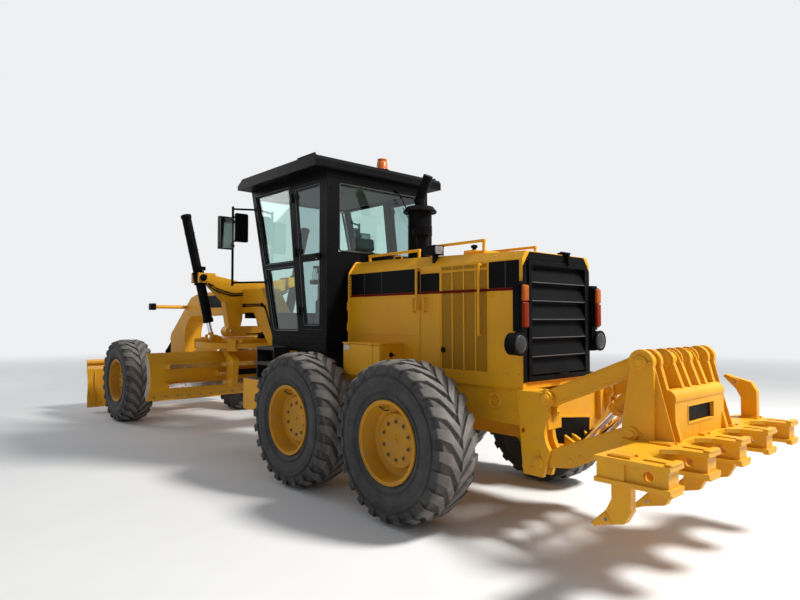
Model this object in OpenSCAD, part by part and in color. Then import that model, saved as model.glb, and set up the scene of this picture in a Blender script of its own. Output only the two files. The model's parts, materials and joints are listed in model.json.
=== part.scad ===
// Motor grader with a rear cab, a front dozer blade and a rear ripper.
// X points forward, Y to the left and Z up. Lengths are in millimetres.

/* [Wheels and tandem drive] */
// From the front axle to the middle of the tandem
wheelbase = 6086; // [5900:1:6300]
// Between the two wheels of a tandem
tandem_pitch = 1523; // [1440:1:1560]
// Between the middles of the left and right tyres
track = 2065; // [2040:1:2120]
// Outside diameter of a tyre
tyre_d = 1350; // [1320:1:1380]
// Width of a tyre
tyre_w = 440; // [400:1:445]
// Height of the tread lugs
lug_h = 28; // [22:1:34]
// Lugs along each side of a tyre
lug_count = 24; // [20:1:25]
// Outside diameter of the rim flange
rim_d = 700; // [670:1:730]
// Width of the rim
rim_w = 390; // [370:1:395]
// Wall of the rim
rim_wall = 14; // [10:1:18]
// Number of wheel bolts
wheel_bolts = 10; // [8:1:12]
// Diameter of a wheel spindle
spindle_d = 120; // [100:1:130]
// Height of a tandem case
case_h = 380; // [340:1:420]
// Thickness of a tandem case
case_t = 200; // [170:1:210]
// Diameter of the rear axle housing
housing_d = 300; // [260:1:310]

/* [Rear frame] */
// Height of the rear frame rails
rail_h = 290; // [240:1:300]
// Height of the rear rails' underside
rail_z = 830; // [830:1:850]
// Outside width over the rear rails
rail_span = 960; // [900:1:980]
// Width of one rear rail
rail_w = 180; // [140:1:200]
// From the tandem to the articulation pin
hitch_x = 2300; // [2260:1:2340]
// Diameter of the articulation pin
hitch_pin_d = 120; // [100:1:130]
// Thickness of the hitch ears
ear_t = 50; // [40:1:60]
// Rear end of the frame rails, behind the tandem
rail_end = 1820; // [1800:1:1840]

/* [Hood] */
// Width of the hood
hood_w = 1000; // [980:1:1020]
// Front end of the hood, ahead of the tandem
hood_front = 700; // [680:1:710]
// Rear end of the hood, behind the tandem
hood_rear = 1600; // [1560:1:1640]
// Height of the hood's top at its front
hood_top_z = 2300; // [2260:1:2330]
// How far the hood's top falls to the rear
hood_fall = 60; // [0:1:80]
// Sheet thickness of the hood
hood_t = 25; // [15:1:30]
// Width of the bevel along the hood's top edges
hood_bevel_w = 90; // [70:1:110]
// Height of the bevel along the hood's top edges
hood_bevel_h = 120; // [90:1:140]
// Louvres in the rear grille
louvres = 6; // [5:1:8]

/* [Cab] */
// Width of the cab
cab_w = 1500; // [1480:1:1520]
// Rear wall of the cab, ahead of the tandem
cab_rear_x = 750; // [740:1:760]
// Height of the cab floor
cab_floor_z = 1480; // [1470:1:1500]
// Depth of the black skirt under the cab
cab_skirt_h = 150; // [120:1:180]
// Height of the cab under its roof
cab_top_z = 3300; // [3290:1:3320]
// Wall thickness of the cab
cab_wall = 60; // [50:1:70]
// Thickness of the window glass
glass_t = 8; // [6:1:10]
// Thickness of the roof slab
roof_t = 120; // [100:1:130]
// Overhang of the roof beyond the cab's sides
roof_over = 190; // [160:1:200]

/* [Front frame] */
// Width of the front frame beam
beam_w = 300; // [280:1:320]
// Height of the front frame's top
beam_top_z = 2130; // [2110:1:2150]
// Depth of the front frame beam
beam_h = 340; // [320:1:360]
// Wall of the bolster that straddles the front axle
bolster_wall = 60; // [50:1:70]
// Length of the gap for the front axle
bolster_gap = 260; // [250:1:270]
// From the frame's centre to the eye of a lift arm
lift_eye_y = 800; // [780:1:820]
// Height of the eyes of the lift arms
lift_eye_z = 2280; // [2260:1:2300]
// Diameter of a lift cylinder's barrel
lift_barrel_d = 130; // [115:1:140]
// Diameter of a lift cylinder's rod
lift_rod_d = 65; // [55:1:75]

/* [Front axle] */
// From the machine's centre to a kingpin
kingpin_y = 800; // [790:1:805]
// Diameter of a kingpin
kingpin_d = 60; // [50:1:64]
// Length of a steering arm
steer_arm = 230; // [215:1:245]
// Diameter of the tie rod
tie_rod_d = 40; // [34:1:44]

/* [Drawbar, circle and blade] */
// From the tandem to the centre of the circle
circle_x = 3850; // [3820:1:3880]
// Outside diameter of the circle
circle_d = 1530; // [1500:1:1560]
// Width of the circle's ring
circle_ring = 125; // [110:1:140]
// Height of the raised circle's underside
circle_z = 1275; // [1265:1:1280]
// Thickness of the circle
circle_t = 75; // [70:1:80]
// Length of the moldboard
blade_len = 3200; // [3100:1:3300]
// Height of the moldboard with its cutting edge
blade_h = 600; // [580:1:610]
// Thickness of the moldboard
blade_t = 22; // [18:1:25]
// Radius of the moldboard's curve
blade_r = 413; // [400:1:430]
// From the circle's centre back to the moldboard
blade_back = 330; // [320:1:345]
// Height of the raised moldboard's top edge
blade_top_z = 1222; // [1200:1:1225]

/* [Front dozer blade] */
// Width of the front blade
dozer_w = 2600; // [2500:1:2650]
// Height of the front blade
dozer_h = 860; // [820:1:880]
// Plate thickness of the front blade
dozer_t = 20; // [16:1:25]
// From the front axle to the front blade's rear face
dozer_reach = 1350; // [1330:1:1380]
// Height of the front blade's lower edge
dozer_z = 90; // [80:1:120]

/* [Ripper] */
// Length of the ripper links between their pins
link_len = 826; // [815:1:835]
// Rise of the links from front to rear, in degrees
link_rise = 23; // [22:1:24]
// Width of the ripper beam
ripper_w = 2320; // [2300:1:2340]
// Between two shank pockets
pocket_pitch = 534; // [530:1:540]
// Thickness of a shank
shank_t = 64; // [56:1:66]

/* [Hidden] */

yellow = "goldenrod";
black = [0.08, 0.08, 0.09];
rubber = [0.13, 0.13, 0.13];
steel = [0.7, 0.7, 0.72];
glass = [0.6, 0.75, 0.75, 0.4];

$fn = 64;
fit = 0.1;    // radial clearance of a pin in its bore
seat_gap = 0.3;  // between pieces that are bolted face to face
clear = 6;    // between pieces that move past each other

dozer_x = wheelbase + dozer_reach;
front_end = dozer_x + 90;
pocket_end = -3060;
// Distance that brings the middle of the machine to the origin
frame_shift = (front_end + pocket_end) / 2;

wheel_z = tyre_d / 2;
wheel_y = track / 2;
beam_bottom_z = beam_top_z - beam_h;
rail_top_z = rail_z + rail_h;
hood_z = rail_top_z + seat_gap;
case_y = 575;
case_outer_y = case_y + case_t;
hub_in = -100;   // inner end of a wheel hub, from the tyre's middle
hub_out = 70;    // outer end of a wheel hub, from the tyre's middle

module at_frame() { translate([-frame_shift, 0, 0]) children(); }
module both_sides() {
    children();
    mirror([0, 1, 0]) children();
}
// Block between two opposite corners
module box(x0, x1, y0, y1, z0, z1) {
    translate([x0, y0, z0]) cube([x1 - x0, y1 - y0, z1 - z0]);
}
// Round bars along each axis, from one coordinate to another
module bar_x(x0, x1, y, z, d) { translate([x0, y, z]) rotate([0, 90, 0]) cylinder(h = x1 - x0, d = d); }
module bar_y(x, y0, y1, z, d) { translate([x, y1, z]) rotate([90, 0, 0]) cylinder(h = y1 - y0, d = d); }
module bar_z(x, y, z0, z1, d) { translate([x, y, z0]) cylinder(h = z1 - z0, d = d); }
// Plate cut to an outline seen from the side, from above or from behind
module plate_xz(points, y0, y1) {
    translate([0, y1, 0]) rotate([90, 0, 0]) linear_extrude(y1 - y0) polygon(points);
}
module plate_xy(points, z0, z1) { translate([0, 0, z0]) linear_extrude(z1 - z0) polygon(points); }
module plate_yz(points, x0, x1) {
    translate([x0, 0, 0]) rotate([90, 0, 90]) linear_extrude(x1 - x0) polygon(points);
}
// Round bar between two points
module bar(p, q, d) {
    v = q - p;
    translate(p) rotate([0, acos(v.z / norm(v)), atan2(v.y, v.x)]) cylinder(h = norm(v), d = d);
}
// Points of an arc, from angle a to angle b
function arc(cx, cy, r, a, b, n) = [for (i = [0:n]) let (t = a + (b - a) * i / n) [cx + r * cos(t), cy + r * sin(t)]];

// Wheel pieces lie round the Y axis with the outer side towards +Y.
// A lug runs from the middle of the tread, bends, and goes down over the shoulder:
// each row is the distance from the middle, the turn and half width in degrees, and two radii
module lug() {
    r = tyre_d / 2;
    pitch = 360 / lug_count;
    rows = [[6, -1.15 * pitch, 0.26 * pitch, r, r - lug_h - 6], [tyre_w * 0.27, -0.25 * pitch, 0.28 * pitch, r - 1, r - lug_h - 10],
        [tyre_w / 2 - 1, 0, 0.22 * pitch, r - lug_h - 8, r - lug_h - 80]];
    points = [for (w = rows) for (c = [[1, w[3]], [-1, w[3]], [-1, w[4]], [1, w[4]]]) let (a = w[1] + c.x * w[2]) [c.y * sin(a), w[0], c.y * cos(a)]];
    sides = [for (k = [0, 4]) for (i = [0:3]) [k + i, k + (i + 1) % 4, k + 4 + (i + 1) % 4, k + 4 + i]];
    polyhedron(points, concat([[3, 2, 1, 0]], sides, [[8, 9, 10, 11]]));
}
module tyre_body() {
    r = tyre_d / 2 - lug_h;
    for (i = [0:lug_count - 1]) rotate([0, 360 * i / lug_count, 0]) {
        lug();
        rotate([0, 180 / lug_count, 0]) mirror([0, 1, 0]) lug();
    }
    bead = rim_d / 2 - 18;
    rotate([90, 0, 0]) rotate_extrude($fn = 72) polygon([
        [bead, -rim_w / 2 + 26], [bead + 60, -tyre_w / 2 + 14], [r - 150, -tyre_w / 2],
        [r - 50, -tyre_w / 2 + 10], [r - 8, -tyre_w / 2 + 42], [r, -tyre_w / 4],
        [r, tyre_w / 4], [r - 8, tyre_w / 2 - 42], [r - 50, tyre_w / 2 - 10],
        [r - 150, tyre_w / 2], [bead + 60, tyre_w / 2 - 14], [bead, rim_w / 2 - 26]
    ]);
}
module rim_body() {
    r = rim_d / 2;
    well = r - 18 - seat_gap;
    hw = rim_w / 2;
    rotate([-90, 0, 0]) rotate_extrude($fn = 72) polygon([
        [r, -hw + 10], [r, -hw], [well - rim_wall, -hw], [well - 40, -hw + 60], [well - 40, 20],
        [150, 20], [150, hub_in], [spindle_d / 2 + fit, hub_in], [spindle_d / 2 + fit, hub_out - 15],
        [40, hub_out - 15], [40, hub_out], [100, hub_out], [130, 45], [well - 70, 45],
        [well - 40, 60], [well - rim_wall, hw], [r, hw], [r, hw - 10], [well, hw - 24], [well, -hw + 24]
    ]);
    for (i = [0:wheel_bolts - 1]) rotate([0, 360 * i / wheel_bolts, 0]) bar_y(195, 44, 66, 0, 36);
}
module wheel_place(x, side) {
    translate([x, side * wheel_y, wheel_z]) mirror([0, side < 0 ? 1 : 0, 0]) children();
}

// Two rails, cross members, the hitch at the front and the ripper mount at the rear
bracket_x = -1560;
link_upper = [-1830, 1070];
link_lower = [-1765, 585];
link_pin_d = 60;
link_y = 455;
module rear_frame() {
    color(yellow) at_frame() difference() {
        union() {
            both_sides() {
                box(-rail_end, 1500, rail_span / 2 - rail_w, rail_span / 2, rail_z, rail_top_z);
                plate_xy([[1499, rail_span / 2 - rail_w], [1499, rail_span / 2], [2080, 260], [2080, 120]], rail_z, rail_top_z);
                box(-180, 180, rail_span / 2 - rail_w, rail_span / 2, wheel_z + 40, rail_z);
                plate_xz(concat([[bracket_x, rail_top_z], [bracket_x - 60, 470], [-1800, 470]],
                    arc(-2060, 825, 245, -35, 35, 8), [[-1830, rail_top_z]]), link_y + 37, link_y + 77);
                plate_xz(concat([[bracket_x - 60, rail_z], [bracket_x - 60, 470], [-1800, 470]],
                    arc(-2060, 825, 245, -35, 35, 8), [[-1830, rail_top_z], [bracket_x - 60, rail_top_z]]), link_y - 77, link_y - 37);
                bar_y(link_upper.x, link_y - 77, link_y + 77, link_upper.y, 2 * link_pin_d);
                bar_y(link_lower.x, link_y - 77, link_y + 77, link_lower.y, 2 * link_pin_d);
            }
            both_sides() translate([-1300, rail_span / 2 + 8, 1010]) rotate([90, 0, 0]) rotate_extrude() polygon(arc(58, 0, 12, 0, 330, 11));
            for (x = [-1300, -500, 600, 1400]) box(x, x + 160, -300, 300, rail_z + 30, rail_top_z - 30);
            box(-1780, -1620, -link_y, link_y, 560, rail_top_z - 20);
            for (z = [rail_z, rail_top_z - ear_t]) {
                box(1900, hitch_x, -260, 260, z, z + ear_t);
                bar_z(hitch_x, 0, z, z + ear_t, 300);
            }
            box(1900, 2080, -260, 260, rail_z, rail_top_z);
            for (y = [-ram_y, ram_y]) {
                plate_xz([[-1770, 560], [-1770, 760], [-1880, 700], [-1880, 600]], y - 70, y - 40);
                plate_xz([[-1770, 560], [-1770, 760], [-1880, 700], [-1880, 600]], y + 40, y + 70);
                bar_y(-1860, y - 70, y + 70, 650, 44);
            }
        }
        bar_y(0, -600, 600, wheel_z, housing_d + 2 * seat_gap);
        both_sides() for (p = [link_upper, link_lower]) bar_y(p.x, link_y - 38, link_y + 38, p.y, 4 * link_pin_d);
        box(-1800, -1600, -85, 85, 620, 800);
        both_sides() bar_y(bracket_x - 60, link_y, link_y + 100, 810, 40);
    }
    color(steel) at_frame() {
        bar_z(hitch_x, 0, rail_z - 20, rail_top_z + 20, hitch_pin_d - 2 * fit);
        both_sides() for (p = [link_upper, link_lower]) bar_y(p.x, link_y - 90, link_y + 90, p.y, link_pin_d - 2 * fit);
    }
}

// Axle housing across the machine and one case along each pair of wheels
module tandem_drive() {
    color(yellow) at_frame() {
        bar_y(0, -case_y, case_y, wheel_z, housing_d);
        translate([0, 0, wheel_z]) sphere(d = housing_d + 130);
        both_sides() {
            box(-tandem_pitch / 2, tandem_pitch / 2, case_y, case_outer_y, wheel_z - case_h / 2, wheel_z + case_h / 2);
            for (x = [-tandem_pitch / 2, tandem_pitch / 2]) {
                bar_y(x, case_y, case_outer_y, wheel_z, case_h);
                bar_y(x, case_outer_y, wheel_y + hub_in - clear, wheel_z, 250);
                bar_y(x, case_outer_y, wheel_y + hub_out - 20, wheel_z, spindle_d);
            }
        }
    }
}

module engine() {
    color("gray") at_frame() {
        box(-1150, 350, -330, 330, rail_top_z + 60, 1950);
        for (x = [-1100, 200]) both_sides() box(x, x + 100, 310, 360, rail_top_z, rail_top_z + 60);
    }
}

// Hood shell with openings for the side and rear grilles
grille_front = -420;
grille_back = -1250;
mesh_front = -690;   // ahead of this the door panels are plain
grille_bottom = 1200;
grille_top = 2120;
// Height of the hood's sloping top
function hood_top(x) = hood_top_z - hood_fall * max(0, hood_front - 500 - x) / (hood_front + hood_rear - 400);
module hood_outline(inset) {
    hw = hood_w / 2 - inset;
    top = hood_top_z - inset;
    polygon([[-hw, hood_z], [hw, hood_z], [hw, top - hood_bevel_h], [hw - hood_bevel_w, top],
        [hood_bevel_w - hw, top], [-hw, top - hood_bevel_h]]);
}
module hood_body(inset) {
    translate([-hood_rear + inset, 0, 0]) rotate([90, 0, 90])
        linear_extrude(hood_front + hood_rear - 2 * inset) hood_outline(inset);
}
module hood_slope(down) {
    plate_xz([[-hood_rear - 100, hood_top_z - hood_fall - down], [hood_front - 500, hood_top_z - down],
        [hood_front - 500, hood_top_z + 200], [-hood_rear - 100, hood_top_z + 200]], -hood_w, hood_w);
}
module hood() {
    color(yellow) at_frame() difference() {
        hood_body(0);
        difference() {
            translate([0, 0, -1]) hood_body(hood_t);
            hood_slope(hood_t);
        }
        hood_slope(0);
        box(grille_back, grille_front, -hood_w, hood_w, grille_bottom, grille_top);
        box(-hood_rear - 50, -hood_rear + 100, -hood_w / 2 + 60, hood_w / 2 - 60, hood_z + 60, hood_top_z - hood_fall - 70);
    }
}

// Door panels with upright bars on both sides of the hood
module side_grilles() {
    color(yellow) at_frame() both_sides() {
        w = (mesh_front - grille_back - 12) / 4;
        difference() {
            box(grille_back + seat_gap, grille_front - seat_gap, hood_w / 2 - 22, hood_w / 2 - 2, grille_bottom + seat_gap, grille_top - seat_gap);
            for (i = [0:3]) box(grille_back + 12 + i * w + 7, grille_back + 12 + (i + 1) * w - 7, hood_w / 2 - 14, hood_w / 2 + 5,
                grille_bottom + 40, grille_top - 12);
        }
    }
}

module rear_grille() {
    color(black) at_frame() {
        y = hood_w / 2 - 60 - seat_gap;
        z0 = hood_z + 60 + seat_gap;
        z1 = hood_top_z - hood_fall - 70 - seat_gap;
        difference() {
            box(-hood_rear - 20, -hood_rear + 40, -y, y, z0, z1);
            box(-hood_rear - 30, -hood_rear + 25, -y + 40, y - 40, z0 + 40, z1 - 40);
        }
        step = (z1 - z0 - 80) / louvres;
        for (i = [0:louvres - 1]) plate_xz([[-hood_rear + 26, z0 + 40 + i * step + 0.7 * step], [-hood_rear - 10, z0 + 40 + i * step + 8],
            [-hood_rear - 18, z0 + 40 + i * step + 16], [-hood_rear + 26, z0 + 40 + (i + 1) * step - 10]], -y + 41, y - 41);
    }
}

// Air pre-cleaner with a domed cap and the exhaust stack
module engine_stacks() {
    color(black) at_frame() {
        translate([300, -190, 0]) {
            bar_z(0, 0, hood_top_z + seat_gap, 2900, 265);
            rotate_extrude() polygon([[0, 2880], [150, 2880], [185, 2870], [190, 2885], [150, 2935], [60, 2950], [0, 2950]]);
            bar_z(0, 0, 2940, 3040, 110);
            bar([0, 0, 3030], [-135, 0, 3270], 110);
            for (z = [2440, 2700]) bar_z(0, 0, z, z + 20, 273);
        }
        bar_z(-60, 120, hood_top(0) + seat_gap, 2560, 120);
        bar_z(-60, 120, 2550, 2620, 200);
    }
}

// Tool box on the left and battery box on the right, on the frame rails
module side_boxes() {
    color(yellow) at_frame() both_sides() {
        box(-175, 410, hood_w / 2 + seat_gap, 780, 1125, 1450);
        box(-165, 400, 779, 790, 1145, 1430);
    }
}

// Outer face of the rail where it runs in towards the hitch
function rail_face(x) = rail_span / 2 + seat_gap - (rail_span / 2 - 260) * (x - 1500) / 580;
// Step box in front of the tandem and a platform under each door
module access_steps() {
    color(yellow) at_frame() both_sides() {
        y = cab_w / 2 + seat_gap;
        difference() {
            box(1500, 1960, 700, 1080, 650, 1000);
            box(1515, 1970, 690, 1065, 665, 820);
            box(1515, 1970, 690, 1065, 840, 985);
        }
        plate_xy([[1440, rail_span / 2 + seat_gap], [1500, rail_span / 2 + seat_gap], [1865, rail_face(1865)], [1865, 710],
            [1480, 710], [1440, 600]], 960, 1000);
        for (z = [1160, 1335]) box(1490, 1860, y, 960, z, z + 30);
        for (x = [1480, 1850]) box(x, x + 15, y, 960, 999, 1370);
    }
}

module hood_rails() {
    color(yellow) at_frame() both_sides() {
        for (r = [[-1100, -450, 80], [-280, 480, 60]]) {   // rear post, front post, height over the hood
            for (x = [r.x, r.y]) bar_z(x, 380, hood_top(x + 14) + seat_gap, hood_top_z + r.z, 28);
            bar_x(r.x - 14, r.y + 14, 380, hood_top_z + r.z, 28);
        }
        for (r = [[-1175, 1560], [-410, 1790]]) {
            bar_z(r.x, hood_w / 2 + 45, r.y - 16, 2166, 24);
            for (z = [r.y, 2150]) bar_y(r.x, hood_w / 2 + seat_gap, hood_w / 2 + 45, z, 20);
        }
    }
}

// Lamp housings: tail lamps and work lamps beside the hood, and a work lamp on each bevel
function bevel_z(y) = hood_top_z - hood_bevel_h * (y - hood_w / 2 + hood_bevel_w) / hood_bevel_w;
module lamps() {
    y = hood_w / 2 + seat_gap;
    color(black) at_frame() both_sides() {
        box(-1630, -1570, y, 590, 1590, 1990);
        box(-1655, -1629, 512, 584, 1612, 1968);
        box(-1630, -1570, y, 560, 1400, 1600);
        bar_x(-1650, -1560, 600, 1490, 180);
        plate_yz([[440, bevel_z(440) + seat_gap], [480, bevel_z(480) + seat_gap], [480, 2290], [440, 2290]], -600, -560);
        box(-620, -500, 400, 530, hood_top(-500) + 5, 2370);
    }
}
module beacon() {
    color("darkorange") at_frame() bar_z(800, -60, cab_top_z + roof_t + seat_gap, cab_top_z + roof_t + 130, 110);
}

// Cab outlines seen from the side
cab_front_low = 1880;
cab_front_high = 2410;
cab_inner_x = cab_rear_x + cab_wall;
post_low_z = cab_floor_z + 80;
head_z = cab_top_z - 80;
function front_x(z) = cab_front_low + (cab_front_high - cab_front_low) * (z - cab_floor_z) / (cab_top_z - cab_floor_z);
function mid_x(z) = 1270 + 230 * (z - post_low_z) / (cab_top_z - post_low_z);
// Door hinges stand on the line that leans with the middle post
hinge_y = cab_w / 2 + 15;
hinge_z = [post_low_z + 220, (post_low_z + head_z) / 2 + 60, head_z - 140];
hinge_pin_d = 14;
// Undersides of the bars across the door and across the pane ahead of it
door_rail_z = (post_low_z + head_z) / 2 - 50;
pane_rail_z = door_rail_z - 50;
cab_wall_z0 = cab_floor_z + 40 + seat_gap;
cab_wall_z1 = cab_top_z - cab_wall - seat_gap;
screen_low_z = cab_floor_z + 270;
module hinge_bar(z0, z1, d) { bar([mid_x(z0) - 43, hinge_y, z0], [mid_x(z1) - 43, hinge_y, z1], d); }
// Side opening between two leaning edges, held in by a margin
module side_opening(x0_low, x0_high, x1_low, x1_high, z0, z1, y0, y1) {
    plate_xz([[x0_low, z0], [x1_low, z0], [x1_high, z1], [x0_high, z1]], y0, y1);
}
// Opening ahead of the door, between the middle post and the front post
module pane_shape(margin, y0, y1) {
    side_opening(mid_x(post_low_z) + 40 + margin, mid_x(head_z) + 40 + margin, front_x(post_low_z) - 80 - margin,
        front_x(head_z) - 80 - margin, post_low_z + margin, head_z - margin, y0, y1);
}
module cab_base() {
    color(black) at_frame() {
        difference() {
            plate_xz([[cab_rear_x, cab_floor_z - cab_skirt_h], [cab_front_low, cab_floor_z - cab_skirt_h],
                [cab_front_low, cab_floor_z], [front_x(cab_floor_z + 40), cab_floor_z + 40], [cab_rear_x, cab_floor_z + 40]],
                -cab_w / 2, cab_w / 2);
            box(1000, 1800, -500, 500, cab_floor_z - cab_skirt_h - 1, cab_floor_z - 20);
        }
        both_sides() box(cab_rear_x + 30, 1850, 300, 420, rail_top_z + seat_gap, cab_floor_z - cab_skirt_h + 1);
    }
}
module cab_rear_wall() {
    hw = cab_w / 2;
    color(black) at_frame() difference() {
        box(cab_rear_x, cab_inner_x, -hw, hw, cab_wall_z0, cab_wall_z1);
        box(cab_rear_x - 1, cab_inner_x + 1, -hw + 150, hw - 150, cab_top_z - 880, cab_top_z - 130);
    }
}
module cab_front() {
    hw = cab_w / 2;
    color(black) at_frame() difference() {
        side_opening(front_x(cab_wall_z0) - cab_wall, front_x(cab_wall_z1) - cab_wall, front_x(cab_wall_z0), front_x(cab_wall_z1),
            cab_wall_z0, cab_wall_z1, -hw, hw);
        plate_yz([[-hw + 90, screen_low_z], [hw - 90, screen_low_z], [hw - 90, head_z], [-hw + 90, head_z]], 1700, 2600);
    }
}
module cab_side() {
    hw = cab_w / 2;
    color(black) difference() {
        side_opening(cab_inner_x + seat_gap, cab_inner_x + seat_gap, front_x(cab_wall_z0) - cab_wall - seat_gap,
            front_x(cab_wall_z1) - cab_wall - seat_gap, cab_wall_z0, cab_wall_z1, hw - cab_wall, hw);
        door_shape(0, hw - cab_wall - 1, hw + 1);
        difference() {
            pane_shape(0, hw - cab_wall - 1, hw + 1);
            box(cab_rear_x, cab_front_high, hw - cab_wall - 2, hw + 2, pane_rail_z, pane_rail_z + 60);
        }
    }
    color(black) for (z = hinge_z) {
        hinge_bar(z - 50, z + 50, hinge_pin_d - 2 * fit);
        hinge_bar(z - 50, z - 21, 28);
        side_opening(mid_x(z - 50) - 34, mid_x(z - 21) - 34, mid_x(z - 50) + 30, mid_x(z - 21) + 30, z - 50, z - 21, hw - 1, hw + 10);
    }
}
module cab_side_left() { at_frame() cab_side(); }
module cab_side_right() { at_frame() mirror([0, 1, 0]) cab_side(); }
// Roof slab over the headlining
module cab_roof() {
    color(black) at_frame() {
        plate_xz([[cab_rear_x - 50, cab_top_z - 1], [2420, cab_top_z - 1], [2420, cab_top_z + 50], [2300, cab_top_z + roof_t],
            [cab_rear_x - 20, cab_top_z + roof_t], [cab_rear_x - 50, cab_top_z + roof_t - 40]],
            -cab_w / 2 - roof_over, cab_w / 2 + roof_over);
        side_opening(cab_rear_x, cab_rear_x, front_x(cab_top_z - cab_wall), cab_front_high, cab_top_z - cab_wall, cab_top_z,
            -cab_w / 2, cab_w / 2);
    }
}

// Fixed panes: windscreen, rear window and the panes ahead of the doors
module cab_glass() {
    color(glass) at_frame() {
        hw = cab_w / 2;
        g = seat_gap;
        side_opening(front_x(screen_low_z) - 34, front_x(head_z) - 34, front_x(screen_low_z) - 26, front_x(head_z) - 26,
            screen_low_z + g, head_z - g, -hw + 90 + g, hw - 90 - g);
        box(cab_rear_x + 26, cab_rear_x + 26 + glass_t, -hw + 150 + g, hw - 150 - g, cab_top_z - 880 + g, cab_top_z - 130 - g);
        both_sides() difference() {
            pane_shape(g, hw - 34, hw - 34 + glass_t);
            box(cab_rear_x, cab_front_high, hw - 40, hw, pane_rail_z - g, pane_rail_z + 60 + g);
        }
    }
}

module seat() {
    color([0.2, 0.2, 0.22]) at_frame() {
        box(1180, 1420, -160, 160, cab_floor_z + 40 + seat_gap, cab_floor_z + 330);
        box(1080, 1560, -260, 260, cab_floor_z + 330, cab_floor_z + 470);
        plate_xz([[1080, cab_floor_z + 470], [1200, cab_floor_z + 470], [1120, cab_floor_z + 1150], [1030, cab_floor_z + 1150]], -240, 240);
        for (y = [-330, 270]) box(1120, 1480, y, y + 60, cab_floor_z + 600, cab_floor_z + 660);
        for (y = [-330, 200]) box(1120, 1180, y, y + 130, cab_floor_z + 480, cab_floor_z + 660);
    }
}
module controls() {
    color([0.15, 0.15, 0.16]) at_frame() {
        plate_xz([[1660, cab_floor_z + 40 + seat_gap], [1820, cab_floor_z + 40 + seat_gap], [1830, cab_floor_z + 620], [1740, cab_floor_z + 700]], -130, 130);
        translate([1700, 0, cab_floor_z + 760]) rotate([0, -25, 0]) difference() {
            cylinder(h = 34, d = 400);
            translate([0, 0, -1]) cylinder(h = 36, d = 340);
            }
        translate([1700, 0, cab_floor_z + 760]) rotate([0, -25, 0]) {
            translate([-170, -20, 6]) cube([340, 40, 20]);
            translate([0, 0, -130]) cylinder(h = 150, d = 60);
        }
    }
}
module mirrors() {
    color(black) at_frame() both_sides() {
        for (z = [2140, 3060]) {
            x = front_x(z) - 50;
            box(x - 25, x + 25, cab_w / 2 + seat_gap, cab_w / 2 + 12, z - 30, z + 30);
            bar([x, cab_w / 2 + 14, z], [2420, 1000, z], 24);
        }
        bar_z(2420, 1000, 2100, 3090, 30);
        box(2400, 2440, 1010, 1190, 2550, 2950);
    }
}

// Door frame with its pane cut out; it hangs on the leaning middle post
door_t = 40;
door_gap = 7;
module door_shape(margin, y0, y1) {
    side_opening(cab_inner_x + 20 + margin, cab_inner_x + 20 + margin, mid_x(post_low_z) - 40 - margin, mid_x(head_z) - 40 - margin,
        post_low_z + margin, head_z - margin, y0, y1);
}
module door() {
    hw = cab_w / 2;
    color(black) difference() {
        door_shape(door_gap, hw - door_t, hw);
        difference() {
            door_shape(door_gap + 55, hw - door_t - 1, hw + 1);
            box(cab_rear_x, cab_front_low, hw - 200, hw + 10, door_rail_z, door_rail_z + 60);
        }
    }
    color(black) for (z = hinge_z) difference() {
        union() {
            hinge_bar(z - 18, z + 40, 28);
            side_opening(mid_x(z - 18) - 110, mid_x(z + 40) - 110, mid_x(z - 18) - 52, mid_x(z + 40) - 52, z - 18, z + 40, hw - 1, hw + 10);
        }
        hinge_bar(z - 60, z + 60, hinge_pin_d);
    }
    color(steel) box(cab_inner_x + 50, cab_inner_x + 170, hw - 1, hw + 30, door_rail_z + 10, door_rail_z + 50);
}
module door_pane() {
    hw = cab_w / 2;
    color(glass) difference() {
        door_shape(door_gap + 55 + seat_gap, hw - 25, hw - 25 + glass_t);
        box(cab_rear_x, cab_front_low, hw - 200, hw + 10, door_rail_z - seat_gap, door_rail_z + 60 + seat_gap);
    }
}
module door_left() { at_frame() door(); }
module door_left_glass() { at_frame() door_pane(); }
module door_right() { at_frame() mirror([0, 1, 0]) door(); }
module door_right_glass() { at_frame() mirror([0, 1, 0]) door_pane(); }

module tyre_tandem_front_left() { color(rubber) at_frame() wheel_place(tandem_pitch / 2, 1) tyre_body(); }
module tyre_tandem_front_right() { color(rubber) at_frame() wheel_place(tandem_pitch / 2, -1) tyre_body(); }
module tyre_tandem_rear_left() { color(rubber) at_frame() wheel_place(-tandem_pitch / 2, 1) tyre_body(); }
module tyre_tandem_rear_right() { color(rubber) at_frame() wheel_place(-tandem_pitch / 2, -1) tyre_body(); }
module tyre_steer_left() { color(rubber) at_frame() wheel_place(wheelbase, 1) tyre_body(); }
module tyre_steer_right() { color(rubber) at_frame() wheel_place(wheelbase, -1) tyre_body(); }
module rim_tandem_front_left() { color(yellow) at_frame() wheel_place(tandem_pitch / 2, 1) rim_body(); }
module rim_tandem_front_right() { color(yellow) at_frame() wheel_place(tandem_pitch / 2, -1) rim_body(); }
module rim_tandem_rear_left() { color(yellow) at_frame() wheel_place(-tandem_pitch / 2, 1) rim_body(); }
module rim_tandem_rear_right() { color(yellow) at_frame() wheel_place(-tandem_pitch / 2, -1) rim_body(); }
module rim_steer_left() { color(yellow) at_frame() wheel_place(wheelbase, 1) rim_body(); }
module rim_steer_right() { color(yellow) at_frame() wheel_place(wheelbase, -1) rim_body(); }

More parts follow.
